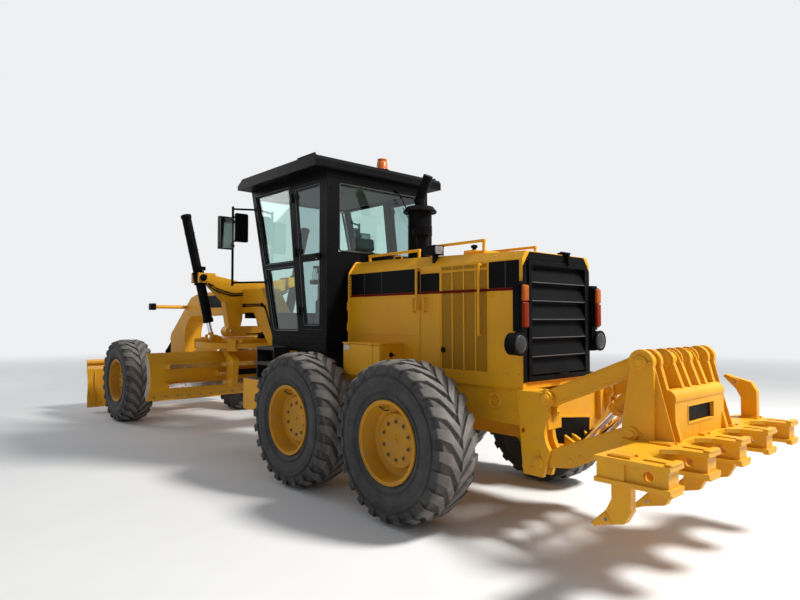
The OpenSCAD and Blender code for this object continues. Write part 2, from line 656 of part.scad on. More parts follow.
// Gooseneck from the articulation hitch over the circle down to the bolster
bolster_half = bolster_gap / 2 + bolster_wall;
arch_r = 350;
axle_pin_z = 700;
ball_x = wheelbase - bolster_half - 72;
ball_z = 1000;
ball_d = 120;
ball_pin_d = 36;
module front_frame() {
    color(yellow) at_frame() difference() {
        union() {
            plate_xz(concat(
                [[hitch_x, rail_z + ear_t + clear], [hitch_x + 320, rail_z + ear_t + clear], [hitch_x + 350, 960],
                [circle_x - 400, beam_bottom_z]],
                arc(wheelbase - bolster_half - arch_r, beam_bottom_z - 50 - arch_r, arch_r, 90, 0, 10),
                [[wheelbase - bolster_half, 560], [wheelbase + bolster_half, 560], [wheelbase + bolster_half, 820],
                [wheelbase + 434, 900], [wheelbase + 434, 1420], [wheelbase - 436, beam_top_z - 70],
                [wheelbase - 786, beam_top_z], [hitch_x + 920, beam_top_z],
                [hitch_x + 180, 1278], [hitch_x + 180, rail_top_z - ear_t - clear], [hitch_x, rail_top_z - ear_t - clear]]),
                -beam_w / 2, beam_w / 2);
            bar_z(hitch_x, 0, rail_z + ear_t + clear, rail_top_z - ear_t - clear, beam_w);
        }
        bar_z(hitch_x, 0, 0, 2000, hitch_pin_d);
        box(wheelbase - bolster_gap / 2, wheelbase + bolster_gap / 2, -beam_w, beam_w, 500, 1060);
        bar_x(wheelbase - 400, wheelbase + 400, 0, axle_pin_z, 90);
    }
    color(steel) at_frame() {
        translate([ball_x, 0, ball_z]) sphere(d = ball_d - 2 * fit);
        bar_x(ball_x, wheelbase - bolster_half, 0, ball_z, 60);
        bar_y(ball_x, -105, 105, ball_z, ball_pin_d - 2 * fit);
    }
    // Ears for the front blade's push arms and its lift cylinder
    color(yellow) at_frame() {
        both_sides() plate_xz([[wheelbase + bolster_half - 10, 640], [dozer_pin.x - 20, 690], [dozer_pin.x + 60, 710], [dozer_pin.x + 60, 810],
            [dozer_pin.x - 60, 940], [wheelbase + bolster_half - 10, 960]], 104, 164);
        bar_y(dozer_pin.x, -240, 240, dozer_pin.y, dozer_pin_d - 2 * fit);
        both_sides() plate_xz([[wheelbase + 400, 1200], [dozer_top.x + 20, 1270], [dozer_top.x + 50, 1330], [dozer_top.x + 20, 1390], [wheelbase + 400, 1440]], 52, 82);
        bar_y(dozer_top.x, -84, 84, dozer_top.y, 50);
    }
}

// A pair of bell cranks beside the beam, a link bar under it and the cylinder eyes
arm_t = 140;
link_bar_z = beam_bottom_z - 360;
module lift_arms() {
    x0 = circle_x - arm_t / 2;
    x1 = circle_x + arm_t / 2;
    color(yellow) at_frame() difference() {
        union() {
            both_sides() {
                plate_yz([[beam_w / 2 + seat_gap, beam_top_z + 110], [lift_eye_y - 120, lift_eye_z + 60],
                    [lift_eye_y - 120, lift_eye_z - 90], [430, lift_eye_z - 330], [370, link_bar_z + 170],
                    [340, link_bar_z], [220, link_bar_z], [beam_w / 2 + seat_gap, beam_bottom_z - 90]], x0, x1);
                for (x = [x0 - 60, x1 + 20]) box(x, x + 40, lift_eye_y - 170, lift_eye_y + 60, lift_eye_z - 70, lift_eye_z + 70);
                box(x0 - 60, x1 + 60, lift_eye_y - 190, lift_eye_y - 115, lift_eye_z - 90, lift_eye_z + 70);
            }
            box(x0 + 10, x1 - 10, -345, 345, link_bar_z, link_bar_z + 155);
            both_sides() bar_x(x0 - 15, x1 + 15, 345, link_bar_z + 78, 155);
            box(x0, x1, -250, 250, beam_top_z + seat_gap, beam_top_z + 110);
        }
        both_sides() bar_x(x0 - 100, x1 + 100, lift_eye_y, lift_eye_z, 50);
    }
}

module head_lamps() {
    color(yellow) at_frame() {
        both_sides() bar_y(wheelbase - 250, beam_w / 2 + seat_gap, 701, 1900, 60);
        both_sides() box(wheelbase - 300, wheelbase - 200, 700, 780, 1850, 1950);
    }
}

// Axle beam with a fork at each end, the leaning carriers of the kingpins and the lean bar
lean_y = 640;
module front_axle() {
    color(yellow) at_frame() translate([wheelbase, 0, 0]) {
        both_sides() difference() {
            plate_yz([[-1, 790], [250, 790], [560, 710], [690, 700], [700, 570], [560, 565], [-1, 565]], -100, 100);
            box(-62, 62, 540, 800, 500, 900);
        }
        bar_x(-bolster_half - 20, bolster_half + 20, 0, axle_pin_z, 90 - 2 * fit);
        both_sides() {
            difference() {
                union() {
                    plate_yz([[590, 600], [620, 572], [kingpin_y, 575], [kingpin_y, 780], [720, 800], [695, 960], [650, 990], [605, 960], [600, 700]],
                        -50, 50);
                    bar_z(0, kingpin_y, 575, 780, 110);
                }
                bar_z(0, kingpin_y, 500, 900, kingpin_d);
            }
            bar_x(-100, 100, lean_y, 640, 60);
            bar_x(40, 100, 648, 940, 40);
        }
        difference() {
            box(56, 90, -700, 700, 895, 985);
            both_sides() bar_x(50, 100, 648, 940, 40 + 2 * fit);
        }
    }
}

arm_z = 510;
module knuckle() {
    color(yellow) translate([wheelbase, kingpin_y, 0]) {
        for (z = [[510, 555], [800, 840]]) {
            bar_z(0, 0, z[0], z[1], 120);
            box(-60, 60, 0, 100, z[0], z[1]);
        }
        box(-80, 80, 70, wheel_y + hub_in - clear - kingpin_y, 510, 840);
        bar_z(0, 0, 510, 840, kingpin_d - 2 * fit);
        bar_y(0, 90, wheel_y + hub_out - 20 - kingpin_y, wheel_z, spindle_d);
        box(-steer_arm, 0, -30, 30, arm_z, arm_z + 40);
        bar_z(-steer_arm, 0, arm_z, arm_z + 40, 80);
        bar_z(-steer_arm, 0, 455, arm_z, 30);
    }
}
module knuckle_left() { at_frame() knuckle(); }
module knuckle_right() { at_frame() mirror([0, 1, 0]) knuckle(); }
module tie_rod() {
    color(yellow) at_frame() translate([wheelbase - steer_arm, 0, 0]) difference() {
        union() {
            bar_y(0, -kingpin_y + 30, kingpin_y - 30, 483, tie_rod_d);
            both_sides() bar_z(0, kingpin_y, 463, arm_z - clear, 60);
        }
        both_sides() bar_z(0, kingpin_y, 400, 600, 30 + 2 * fit);
    }
}

// A-shaped drawbar with a ball socket at its nose and clevises for the lift rods at its sides
draw_z0 = circle_z + circle_t + clear;
draw_z1 = draw_z0 + 55;
rod_eye_z = draw_z1 + 9;
rod_eye_y = 600;
rod_pin_d = 44;
rod_eye_slack = 16;   // the lift rods' eyes ride loose on their pins by this radius
rod_lug_x = [-70, 105];   // the rear faces of the two lugs beside a lift rod's eye, from the circle's centre
rod_lug_t = 30;
module drawbar() {
    color(yellow) at_frame() {
        difference() {
            union() {
                plate_xy([[circle_x + 1150, 120], [circle_x + 650, 480], [circle_x - 350, 520], [circle_x - 550, 510],
                    [circle_x - 610, 430], [circle_x - 610, -430], [circle_x - 550, -510], [circle_x - 350, -520],
                    [circle_x + 650, -480], [circle_x + 1150, -120]], draw_z0, draw_z1);
                plate_xz([[circle_x + 550, draw_z0], [circle_x + 550, draw_z1], [circle_x + 1150, draw_z1],
                    [ball_x - 324, ball_z + 180], [ball_x - 40, ball_z + 80], [ball_x - 40, ball_z - 70], [ball_x - 374, ball_z],
                    [circle_x + 1050, draw_z0 - 60], [circle_x + 850, draw_z0]], -100, 100);
                translate([ball_x, 0, ball_z]) sphere(d = ball_d + 70);
            }
            translate([ball_x, 0, ball_z]) sphere(d = ball_d);
            box(ball_x + 32, ball_x + 200, -200, 200, ball_z - 200, ball_z + 200);
            bar_y(ball_x, -120, 120, ball_z, ball_pin_d);
            both_sides() plate_xy([[circle_x + 980, 130], [circle_x + 640, 370], [circle_x + 500, 380], [circle_x + 500, 130]],
                draw_z0 - 1, draw_z1 + 1);
            box(circle_x - 330, circle_x + 330, -300, 300, draw_z0 - 1, draw_z1 + 1);
        }
        both_sides() {
            for (x = rod_lug_x) plate_yz([[480, draw_z0 + 1], [rod_eye_y + 20, draw_z0 + 1],
                [rod_eye_y + 48, rod_eye_z - 20], [rod_eye_y + 40, rod_eye_z + 45], [rod_eye_y - 40, rod_eye_z + 45],
                [480, draw_z1 + 20]], circle_x + x, circle_x + x + rod_lug_t);
            bar_x(circle_x + rod_lug_x[0] - 6, circle_x + rod_lug_x[1] + rod_lug_t + 6, rod_eye_y, rod_eye_z, rod_pin_d);
        }
        for (a = [45:90:315]) translate([circle_x, 0, 0]) rotate([0, 0, a]) {
            box(circle_d / 2 + clear, circle_d / 2 + 60, -60, 60, circle_z - 30, draw_z0);
            box(circle_d / 2 - 160, circle_d / 2 + 60, -60, 60, draw_z0 - 1, draw_z0 + 40);
            box(circle_d / 2 - 40, circle_d / 2 + 60, -60, 60, circle_z - 30, circle_z - seat_gap);
        }
    }
}

// What turns with the circle is placed from the circle's centre
module on_circle() { at_frame() translate([circle_x, 0, 0]) children(); }
leg_y = 500;
blade_mid_z = blade_top_z - blade_h / 2;
blade_back_x = -blade_back - blade_t;
rail_upper = blade_mid_z + 140;
rail_lower = blade_mid_z - 110;
module circle() {
    color(yellow) on_circle() {
        difference() {
            bar_z(0, 0, circle_z, circle_z + circle_t, circle_d);
            bar_z(0, 0, circle_z - 1, circle_z + circle_t + 1, circle_d - 2 * circle_ring);
        }
        both_sides() difference() {
            plate_xz([[-100, circle_z + 1], [-420, circle_z + 1], [-440, circle_z - 45], [blade_back_x - 300, rail_upper + 60],
                [blade_back_x - 260, rail_lower - 60], [blade_back_x - 90, rail_lower - 70], [blade_back_x - 60, rail_upper + 90],
                [blade_back_x - 40, circle_z - 60]], leg_y, leg_y + 80);
            for (z = [rail_upper, rail_lower]) box(blade_back_x - 126, blade_back_x, leg_y - 10, leg_y + 100,
                z - 30 - seat_gap, z + 30 + seat_gap);
        }
    }
}

// Curved moldboard with its cutting edge and the two slide rails on its back
module moldboard() {
    half = asin(blade_h / 2 / blade_r);
    rail_end_y = blade_len / 2 - 200;
    color(yellow) on_circle() {
        plate_xz(concat(arc(-blade_back + blade_r, blade_mid_z, blade_r, 180 - half, 180 + half, 16),
            arc(-blade_back + blade_r, blade_mid_z, blade_r + blade_t, 180 + half, 180 - half, 16)), -blade_len / 2, blade_len / 2);
        for (z = [rail_upper, rail_lower]) {
            box(blade_back_x - 120, blade_back_x - 60, -rail_end_y, rail_end_y, z - 30, z + 30);
            for (y = [-rail_end_y, -30, rail_end_y - 60]) box(blade_back_x - 110, blade_back_x + 70, y, y + 60, z - 30, z + 30);
        }
    }
}

// Lift cylinders lean inwards from the eyes of the lift arms to the drawbar
function lift_dir(side) = let (v = [0, side * (lift_eye_y - rod_eye_y), lift_eye_z - rod_eye_z]) v / norm(v);
module lift_barrel(side) {
    u = lift_dir(side);
    eye = [circle_x, side * lift_eye_y, lift_eye_z];
    color(black) difference() {
        union() {
            bar(eye - 640 * u, eye + 900 * u, lift_barrel_d);
            bar(eye - 60 * u, eye + 60 * u, lift_barrel_d + 30);
            bar_x(circle_x - arm_t / 2 - 62, circle_x + arm_t / 2 + 62, side * lift_eye_y, lift_eye_z, 50 - 2 * fit);
        }
        bar(eye - 700 * u, eye + 860 * u, lift_rod_d + 2 * fit);
    }
}
module lift_rod(side) {
    u = lift_dir(side);
    ball = [circle_x, side * rod_eye_y, rod_eye_z];
    color(steel) difference() {
        union() {
            bar(ball + 40 * u, ball + 1000 * u, lift_rod_d);
            bar_x(circle_x - 20, circle_x + 20, side * rod_eye_y, rod_eye_z, rod_pin_d + 2 * rod_eye_slack + 26);
        }
        bar_x(circle_x - 60, circle_x + 60, side * rod_eye_y, rod_eye_z, rod_pin_d + 2 * rod_eye_slack);
    }
}
module lift_barrel_left() { at_frame() lift_barrel(1); }
module lift_barrel_right() { at_frame() lift_barrel(-1); }
module lift_rod_left() { at_frame() lift_rod(1); }
module lift_rod_right() { at_frame() lift_rod(-1); }

// Front blade on two push arms that hinge on the front of the frame
dozer_pin = [wheelbase + 574, 760];
dozer_pin_d = 60;
dozer_eye = [dozer_x - 186, 900];
dozer_top = [wheelbase + 594, 1330];
module dozer_blade() {
    color(yellow) at_frame() {
        plate_xz(concat([[dozer_x, dozer_z], [dozer_x + dozer_t, dozer_z]],
            arc(dozer_x + 620, dozer_z + dozer_h * 0.45, 620, 200, 155, 8),
            [[front_end, dozer_z + dozer_h], [dozer_x + 60, dozer_z + dozer_h], [dozer_x, dozer_z + dozer_h * 0.8]]), -dozer_w / 2, dozer_w / 2);
        both_sides() difference() {
            plate_xz([[dozer_pin.x - 60, dozer_pin.y - 60], [dozer_pin.x - 60, dozer_pin.y + 60], [dozer_pin.x + 240, 800],
                [dozer_x + 1, 760], [dozer_x + 1, 300], [dozer_pin.x + 290, 620]], 170, 230);
            bar_y(dozer_pin.x, 100, 300, dozer_pin.y, dozer_pin_d);
        }
        box(dozer_x - 476, dozer_x - 376, -171, 171, 640, 760);
        for (y = [-90, 50]) plate_xz([[dozer_x - 386, 700], [dozer_x + 1, 640], [dozer_x + 1, 900], [dozer_eye.x + 40, 950], [dozer_eye.x - 50, 950]], y, y + 40);
        bar_y(dozer_eye.x, -100, 100, dozer_eye.y, 44);
    }
}
module dozer_barrel() {
    p = [dozer_top.x, 0, dozer_top.y];
    q = [dozer_eye.x, 0, dozer_eye.y];
    u = (q - p) / norm(q - p);
    color(black) at_frame() difference() {
        union() {
            bar(p, p + 440 * u, 100);
            bar_y(p.x, -46, 46, p.z, 110);
        }
        bar_y(p.x, -60, 60, p.z, 50 + 2 * fit);
        bar(p + 90 * u, p + 500 * u, 50 + 2 * fit);
    }
}
module dozer_rod() {
    p = [dozer_top.x, 0, dozer_top.y];
    q = [dozer_eye.x, 0, dozer_eye.y];
    u = (q - p) / norm(q - p);
    color(steel) at_frame() difference() {
        union() {
            bar(q - 40 * u, p + 300 * u, 50);
            bar_y(q.x, -44, 44, q.z, 100);
        }
        bar_y(q.x, -60, 60, q.z, 44 + 16);
    }
}

// Ripper: a parallelogram of lower and upper links carries the beam with its shanks
link_v = link_len * [-cos(link_rise), sin(link_rise)];
top_pin = link_upper + link_v;
low_pin = link_lower + link_v;
module link_bar(p, q, y0, y1, d) {
    difference() {
        hull() for (c = [p, q]) bar_y(c.x, y0, y1, c.y, d);
        for (c = [p, q]) bar_y(c.x, y0 - 1, y1 + 1, c.y, link_pin_d);
    }
}
module ripper_lower_link() {
    color(yellow) at_frame() {
        both_sides() link_bar(link_lower, low_pin, link_y - 32, link_y + 32, 120);
        bar_y(-2080, -link_y, link_y, 695, 70);
    }
}
module ripper_upper_links() {
    color(yellow) at_frame() both_sides() link_bar(link_upper, top_pin, link_y - 32, link_y + 32, 130);
}
beam_x0 = -2800;
beam_x1 = -2450;
beam_z0 = 715;
beam_z1 = 870;
beam_end_x = -2600;   // the beam is narrower beyond its towers
flange_t = 28;
shank_x = -2740;
half_w = ripper_w / 2;
function within(y) = max(-half_w, min(half_w, y));
// Plate over or under the beam, with a tongue behind each shank
module beam_flange(z) {
    plate_xy(concat([[beam_x1, link_y + 76], [beam_x1, -link_y - 76], [beam_end_x, -link_y - 180], [beam_end_x, -half_w]],
        [for (i = [-2:2]) for (p = [[0, -190], [-80, -105], [pocket_end - beam_x0, -92], [pocket_end - beam_x0, 92], [-80, 105], [0, 190]])
            [beam_x0 + p.x, within(i * pocket_pitch + p.y)]],
        [[beam_end_x, half_w], [beam_end_x, link_y + 180]]), z, z + flange_t);
}
// Shank with its point forward, measured from the middle of the beam
module shank() {
    color(yellow) plate_xz([[-60, 92], [60, 92], [60, -180], [95, -250], [190, -345], [172, -362], [-20, -312], [-60, -240]],
        -shank_t / 2, shank_t / 2);
}
module ripper_beam() {
    mid_z = (beam_z0 + beam_z1) / 2;
    color(yellow) at_frame() {
        difference() {
            union() {
                for (z = [beam_z0, beam_z1 - flange_t]) beam_flange(z);
                box(beam_x0 + 12, beam_end_x - 12, 12 - half_w, half_w - 12, beam_z0, beam_z1);
                box(beam_x0 + 12, beam_x1, -link_y - 76, link_y + 76, beam_z0, beam_z1);
                for (i = [-2:2]) box(pocket_end + 20, beam_x0 + 13, i * pocket_pitch - 66, i * pocket_pitch + 66, beam_z0 + 1, beam_z1 - 1);
                both_sides() for (y = [link_y - 76, link_y + 38]) plate_xz([[beam_x1, beam_z0], [beam_x1, 960], [top_pin.x + 70, top_pin.y + 30],
                    [top_pin.x, top_pin.y + 75], [top_pin.x - 70, top_pin.y + 20], [beam_x0, beam_z1 + 20], [beam_x0, beam_z0]], y, y + 38);
                for (y = [-220, -98, 60, 182]) plate_xz([[-2670, 1150], [top_pin.x + 70, top_pin.y + 30],
                    [top_pin.x, top_pin.y + 75], [top_pin.x - 70, top_pin.y + 20], [-2760, 1150]], y, y + 38);
                difference() {
                    box(-2770, -2740, -link_y + 37, link_y - 37, beam_z1 - 1, 1120);
                    box(-2780, -2730, -215, 215, 975, 1085);
                }
                bar_y(-2715, -link_y + 37, link_y - 37, 1150, 120);
            }
            for (i = [-2:2]) translate([0, i * pocket_pitch, 0]) {
                box(shank_x - 60 - seat_gap, shank_x + 60 + seat_gap, -shank_t / 2 - seat_gap, shank_t / 2 + seat_gap, 0, 2000);
                box(pocket_end + 50, beam_x0 - 60, -22, 22, 0, 2000);
                bar_y(-2925, -100, 100, mid_z, 60);
            }
            both_sides() for (p = [top_pin, low_pin]) bar_y(p.x, link_y - 100, link_y + 100, p.y, link_pin_d);
            both_sides() bar_y(low_pin.x, link_y - 38, link_y + 38, low_pin.y, 160);
            both_sides() box(low_pin.x - 85, beam_x1 + 10, link_y - 38, link_y + 38, 780, 1000);
            bar_y(top_pin.x, -250, 250, top_pin.y, link_pin_d);
        }
        both_sides() for (p = [top_pin, low_pin]) bar_y(p.x, link_y - 90, link_y + 90, p.y, link_pin_d - 2 * fit);
        both_sides() bar_y(top_pin.x, 50, 230, top_pin.y, link_pin_d - 2 * fit);
        for (i = [-1, 0, 1, 2]) translate([shank_x, i * pocket_pitch, mid_z]) shank();
        translate([shank_x, -2 * pocket_pitch, mid_z + 60]) mirror([0, 0, 1]) shank();
    }
}
ram_foot = [-1860, 650];
ram_y = 140;
ram_eye_slack = 13;
module ripper_ram_parts(barrel) {
    p = [ram_foot.x, 0, ram_foot.y];
    q = [top_pin.x, 0, top_pin.y];
    u = (q - p) / norm(q - p);
    for (y = [-ram_y, ram_y]) translate([0, y, 0])
        if (barrel) difference() {
            union() {
                bar(q - 560 * u, q - 90 * u, 110);
                bar(q - 92 * u, q - 48 * u, 70);
                bar_y(q.x, -36, 36, q.z, link_pin_d + 2 * ram_eye_slack + 36);
            }
            bar_y(q.x, -60, 60, q.z, link_pin_d + 2 * ram_eye_slack);
            bar(q - 600 * u, q - 120 * u, 60 + 2 * fit);
        }
        else difference() {
            union() {
                bar(p + 30 * u, p + 650 * u, 60);
                bar_y(p.x, -36, 36, p.z, 100);
            }
            bar_y(p.x, -60, 60, p.z, 44 + 2 * fit);
        }
}
module ripper_barrels() { color(yellow) at_frame() ripper_ram_parts(true); }
module ripper_rods() { color(steel) at_frame() ripper_ram_parts(false); }

rear_frame();
tandem_drive();
engine();
hood();
side_grilles();
rear_grille();
engine_stacks();
side_boxes();
access_steps();
hood_rails();
lamps();
beacon();
cab_base();
cab_rear_wall();
cab_side_left();
cab_side_right();
cab_front();
cab_roof();
cab_glass();
seat();
controls();
mirrors();
door_left();
door_left_glass();
door_right();
door_right_glass();
tyre_tandem_front_left();
tyre_tandem_front_right();
tyre_tandem_rear_left();
tyre_tandem_rear_right();
tyre_steer_left();
tyre_steer_right();
rim_tandem_front_left();
rim_tandem_front_right();
rim_tandem_rear_left();
rim_tandem_rear_right();
rim_steer_left();
rim_steer_right();
front_frame();
lift_arms();
head_lamps();
front_axle();
knuckle_left();
knuckle_right();
tie_rod();
drawbar();
circle();
moldboard();
lift_barrel_left();
lift_barrel_right();
lift_rod_left();
lift_rod_right();
dozer_blade();
dozer_barrel();
dozer_rod();
ripper_lower_link();
ripper_upper_links();
ripper_beam();
ripper_barrels();
ripper_rods();
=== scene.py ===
import json
from itertools import product
from math import copysign, cos, exp, radians, sin, tau

import bmesh
import bpy
from mathutils import Matrix, Vector


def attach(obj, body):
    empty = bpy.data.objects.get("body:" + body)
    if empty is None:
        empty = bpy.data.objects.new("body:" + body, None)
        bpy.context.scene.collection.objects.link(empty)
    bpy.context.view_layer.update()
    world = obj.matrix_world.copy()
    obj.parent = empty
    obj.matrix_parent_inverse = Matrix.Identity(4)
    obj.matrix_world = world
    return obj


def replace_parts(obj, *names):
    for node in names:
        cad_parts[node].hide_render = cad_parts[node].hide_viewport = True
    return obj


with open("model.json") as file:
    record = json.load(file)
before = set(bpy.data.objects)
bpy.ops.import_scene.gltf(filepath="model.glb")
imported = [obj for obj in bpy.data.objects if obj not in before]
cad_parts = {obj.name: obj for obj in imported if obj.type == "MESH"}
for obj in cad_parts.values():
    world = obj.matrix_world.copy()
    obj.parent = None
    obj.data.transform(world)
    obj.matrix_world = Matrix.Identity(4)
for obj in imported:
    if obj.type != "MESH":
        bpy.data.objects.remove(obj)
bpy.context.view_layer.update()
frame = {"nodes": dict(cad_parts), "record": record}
nodes = frame["nodes"]

# Places are written in millimetres from the middle of the tandem, on the ground: X forward, Y left, Z up
MIDDLE = 2.233  # metres from there to the frame's origin
AXLES = {"front": 761.5, "rear": -761.5, "steer": 6086}
AXLE_Z, TRACK_Y = 675, 1032.5
HOOD_Y, CAB_Y, BEAM_Y = 500, 750, 150  # outer faces of the hood, the cab and the front beam
ROOF_Z = 3419
CIRCLE_X = 3850
ARM_PIN = (800, 2280)  # Y and Z of the pins that carry the lift cylinders
RAILS_Z = (1062, 812)  # rails of the moldboard
SHANK_PITCH = 534
TOP, LOW, LINK_X = (-2590.3, 1392.7), (-2525.3, 907.7), -1830  # pins of the ripper's tower, foot of its links

AHEAD, BACK, LEFT, UP = (1, 0, 0), (-1, 0, 0), (0, 1, 0), (0, 0, 1)
SIDES = (("left", 1), ("right", -1))
WHEELS = [(wheel + "_" + side, axle, s) for wheel, axle in
          (("tandem_front", "front"), ("tandem_rear", "rear"), ("steer", "steer")) for side, s in SIDES]
REAR, FRONT = "rear_frame", "front_frame"
BACKDROP = (0.86, 0.87, 0.88, 1)


def at(x, y, z):
    return Vector((x / 1000 - MIDDLE, y / 1000, z / 1000))


def linked(name, data):
    o = bpy.data.objects.new(name, data)
    bpy.context.collection.objects.link(o)
    return o


def fill(node, **values):
    """Sets sockets of a node, named with underscores for spaces."""
    for k, v in values.items():
        node.inputs[k.replace("_", " ")].default_value = v
    return node


# ---- camera, light and stage; the camera was solved from the photograph's six wheels ----
camera = linked("camera", bpy.data.cameras.new("camera"))
camera.data.sensor_width = 36
camera.data.lens = 27.25
camera.data.clip_end = 200
camera.location = at(-4546, 4487, 1683)
yaw, pitch = radians(-42.09), radians(1.85)
look = Vector((cos(yaw) * cos(pitch), sin(yaw) * cos(pitch), sin(pitch)))
camera.rotation_euler = look.to_track_quat("-Z", "Y").to_euler()
bpy.context.scene.camera = camera
bpy.context.scene.view_settings.view_transform = "Standard"


def area_light(name, place, target, size, power, tint=(1, 1, 1)):
    lamp = bpy.data.lights.new(name, "AREA")
    lamp.shape = "DISK"
    lamp.size = size
    lamp.energy = power
    lamp.color = tint
    o = linked(name, lamp)
    o.location = place
    o.rotation_euler = (Vector(target) - Vector(place)).to_track_quat("-Z", "Y").to_euler()


area_light("key", (-10, -5, 12), (-1, 0, 1), 3.0, 3000, (1, 0.97, 0.92))
area_light("fill", (-6, 14, 7), (0, 0, 1), 9.0, 70, (0.95, 0.97, 1))
area_light("front", (14, 6, 8), (0, 0, 1), 8.0, 420)

world = bpy.data.worlds.new("studio")
bpy.context.scene.world = world
world.use_nodes = True
wn, wl = world.node_tree.nodes, world.node_tree.links
wn.clear()
out = wn.new("ShaderNodeOutputWorld")
mix = wn.new("ShaderNodeMixShader")
for i, tone, strength in ((1, (0.90, 0.94, 1.0, 1), 0.30), (2, BACKDROP, 1.0)):
    glow = fill(wn.new("ShaderNodeBackground"), Color=tone, Strength=strength)
    wl.new(glow.outputs[0], mix.inputs[i])
path = wn.new("ShaderNodeLightPath")
direct = path.outputs["Is Camera Ray"]
for ray in ("Is Glossy Ray", "Is Transmission Ray"):
    either = wn.new("ShaderNodeMath")
    either.operation = "MAXIMUM"
    wl.new(direct, either.inputs[0])
    wl.new(path.outputs[ray], either.inputs[1])
    direct = either.outputs[0]
wl.new(direct, mix.inputs["Fac"])
wl.new(mix.outputs[0], out.inputs["Surface"])


# ---- materials ----
class Shade:
    """A procedural material, built a node at a time."""

    def __init__(self, name):
        self.mat = bpy.data.materials.new(name)
        self.mat.use_nodes = True
        self.nodes = self.mat.node_tree.nodes
        self.links = self.mat.node_tree.links
        self.bsdf = self.nodes["Principled BSDF"]
        self.place = self.new("TexCoord").outputs["Object"]

    def new(self, kind, **values):
        return fill(self.nodes.new("ShaderNode" + kind), **values)

    def set(self, **values):
        fill(self.bsdf, **values)
        return self

    def noise(self, scale, detail, rough=0.55):
        n = self.new("TexNoise", Scale=scale, Detail=detail, Roughness=rough)
        self.links.new(self.place, n.inputs["Vector"])
        return n.outputs["Fac"]

    def span(self, value, low, high, to_low=0.0, to_high=1.0):
        n = self.new("MapRange")
        self.links.new(value, n.inputs["Value"])
        fill(n, From_Min=low, From_Max=high, To_Min=to_low, To_Max=to_high)
        return n.outputs["Result"]

    def math(self, kind, a, b):
        n = self.new("Math")
        n.operation = kind
        for i, v in enumerate((a, b)):
            if isinstance(v, (int, float)):
                n.inputs[i].default_value = v
            else:
                self.links.new(v, n.inputs[i])
        return n.outputs[0]

    def blend(self, factor, a, b):
        n = self.new("Mix")
        n.data_type = "RGBA"
        self.links.new(factor, n.inputs["Factor"])
        for socket, v in zip([s for s in n.inputs if s.type == "RGBA"], (a, b)):
            if isinstance(v, tuple):
                socket.default_value = (*v, 1)
            else:
                self.links.new(v, socket)
        return [s for s in n.outputs if s.type == "RGBA"][0]

    def color(self, value):
        self.links.new(value, self.bsdf.inputs["Base Color"])

    def rough(self, value):
        self.links.new(value, self.bsdf.inputs["Roughness"])

    def bump(self, height, distance, strength, edge=0.0):
        """Relief, and edges rounded by a bevel of that radius."""
        n = self.new("Bump", Distance=distance, Strength=strength)
        self.links.new(height, n.inputs["Height"])
        if edge:
            b = self.new("Bevel", Radius=edge)
            b.samples = 4
            self.links.new(b.outputs["Normal"], n.inputs["Normal"])
        self.links.new(n.outputs["Normal"], self.bsdf.inputs["Normal"])

    def axes(self):
        """Outputs that give the place along X, Y and Z."""
        n = self.new("SeparateXYZ")
        self.links.new(self.place, n.inputs[0])
        return n.outputs

    def wave(self, axis, count):
        """Sine along one axis, with that many waves to the metre."""
        return self.math("SINE", self.math("MULTIPLY", self.axes()[axis], tau * count), 0.0)


DUST = (0.30, 0.25, 0.18)


def paint(name, color, shade, roughness, dust=0.25, gloss=0.28, upper=None):
    """Sprayed paint with a slightly uneven tone, an orange-peel surface and road dust low down; what
    is higher than 1 m may have another colour."""
    s = Shade(name)
    tone = s.blend(s.span(s.noise(1.6, 6), 0.35, 0.65), color, shade)
    if upper:
        tone = s.blend(s.span(s.axes()["Z"], 1.001, 1.003), tone, upper)
    low = s.span(s.axes()["Z"], 0.2, 1.5, 1.0, 0.15)
    spots = s.span(s.noise(9, 8, 0.7), 0.42, 0.75)
    grime = s.math("MULTIPLY", s.math("MULTIPLY", low, spots), dust)
    s.color(s.blend(grime, tone, DUST))
    s.rough(s.math("ADD", s.span(s.noise(30, 5), 0.3, 0.7, roughness - 0.06, roughness + 0.08), grime))
    s.bump(s.noise(260, 2), 0.0006, 0.5, 0.004)
    return s.set(Specular_IOR_Level=gloss).mat


yellow = paint("yellow_paint", (0.80, 0.385, 0.008), (0.72, 0.335, 0.007), 0.40)
# rims: a darker copy of the yellow paint, painted shade for the rims deep in the wheels, with more road dust
rim_yellow = paint("rim_yellow", (0.60, 0.285, 0.009), (0.48, 0.225, 0.009), 0.45, dust=0.45, gloss=0.2)
black = paint("black_paint", (0.004, 0.004, 0.0045), (0.006, 0.006, 0.007), 0.36, dust=0.04, gloss=0.035)
step_paint = paint("step_paint", (0.78, 0.37, 0.008), (0.70, 0.32, 0.007), 0.45, upper=(0.008, 0.008, 0.009))
red_stripe = paint("red_stripe", (0.15, 0.005, 0.005), (0.12, 0.004, 0.004), 0.40, dust=0.05, gloss=0.04)


def tyre(name, axle):
    """Rubber with dusty lugs, darker walls and painted shade in the grooves, for the wheels whose axle is at
    that X.
    """
    s = Shade(name)
    axes = s.axes()
    across = s.math("SUBTRACT", axes["X"], axle / 1000 - MIDDLE)
    up = s.math("SUBTRACT", axes["Z"], AXLE_Z / 1000)
    square = s.math("ADD", s.math("MULTIPLY", across, across), s.math("MULTIPLY", up, up))
    radius = s.math("SQRT", square, 0.0)
    worn = s.span(s.noise(7, 8, 0.7), 0.35, 0.7)
    wall_and_groove_shade = s.blend(worn, (0.018, 0.018, 0.019), (0.052, 0.050, 0.048))
    crown = s.blend(worn, (0.130, 0.121, 0.111), (0.225, 0.208, 0.190))
    # lighter outer tread is dust on the lugs; lug sides and groove floors take the wall's dark tone as
    # painted shade
    s.color(s.blend(s.span(radius, 0.622, 0.668), wall_and_groove_shade, crown))
    s.rough(s.span(s.noise(60, 4), 0.3, 0.7, 0.72, 0.92))
    s.bump(s.noise(140, 6, 0.7), 0.002, 0.7, 0.006)
    return s.mat


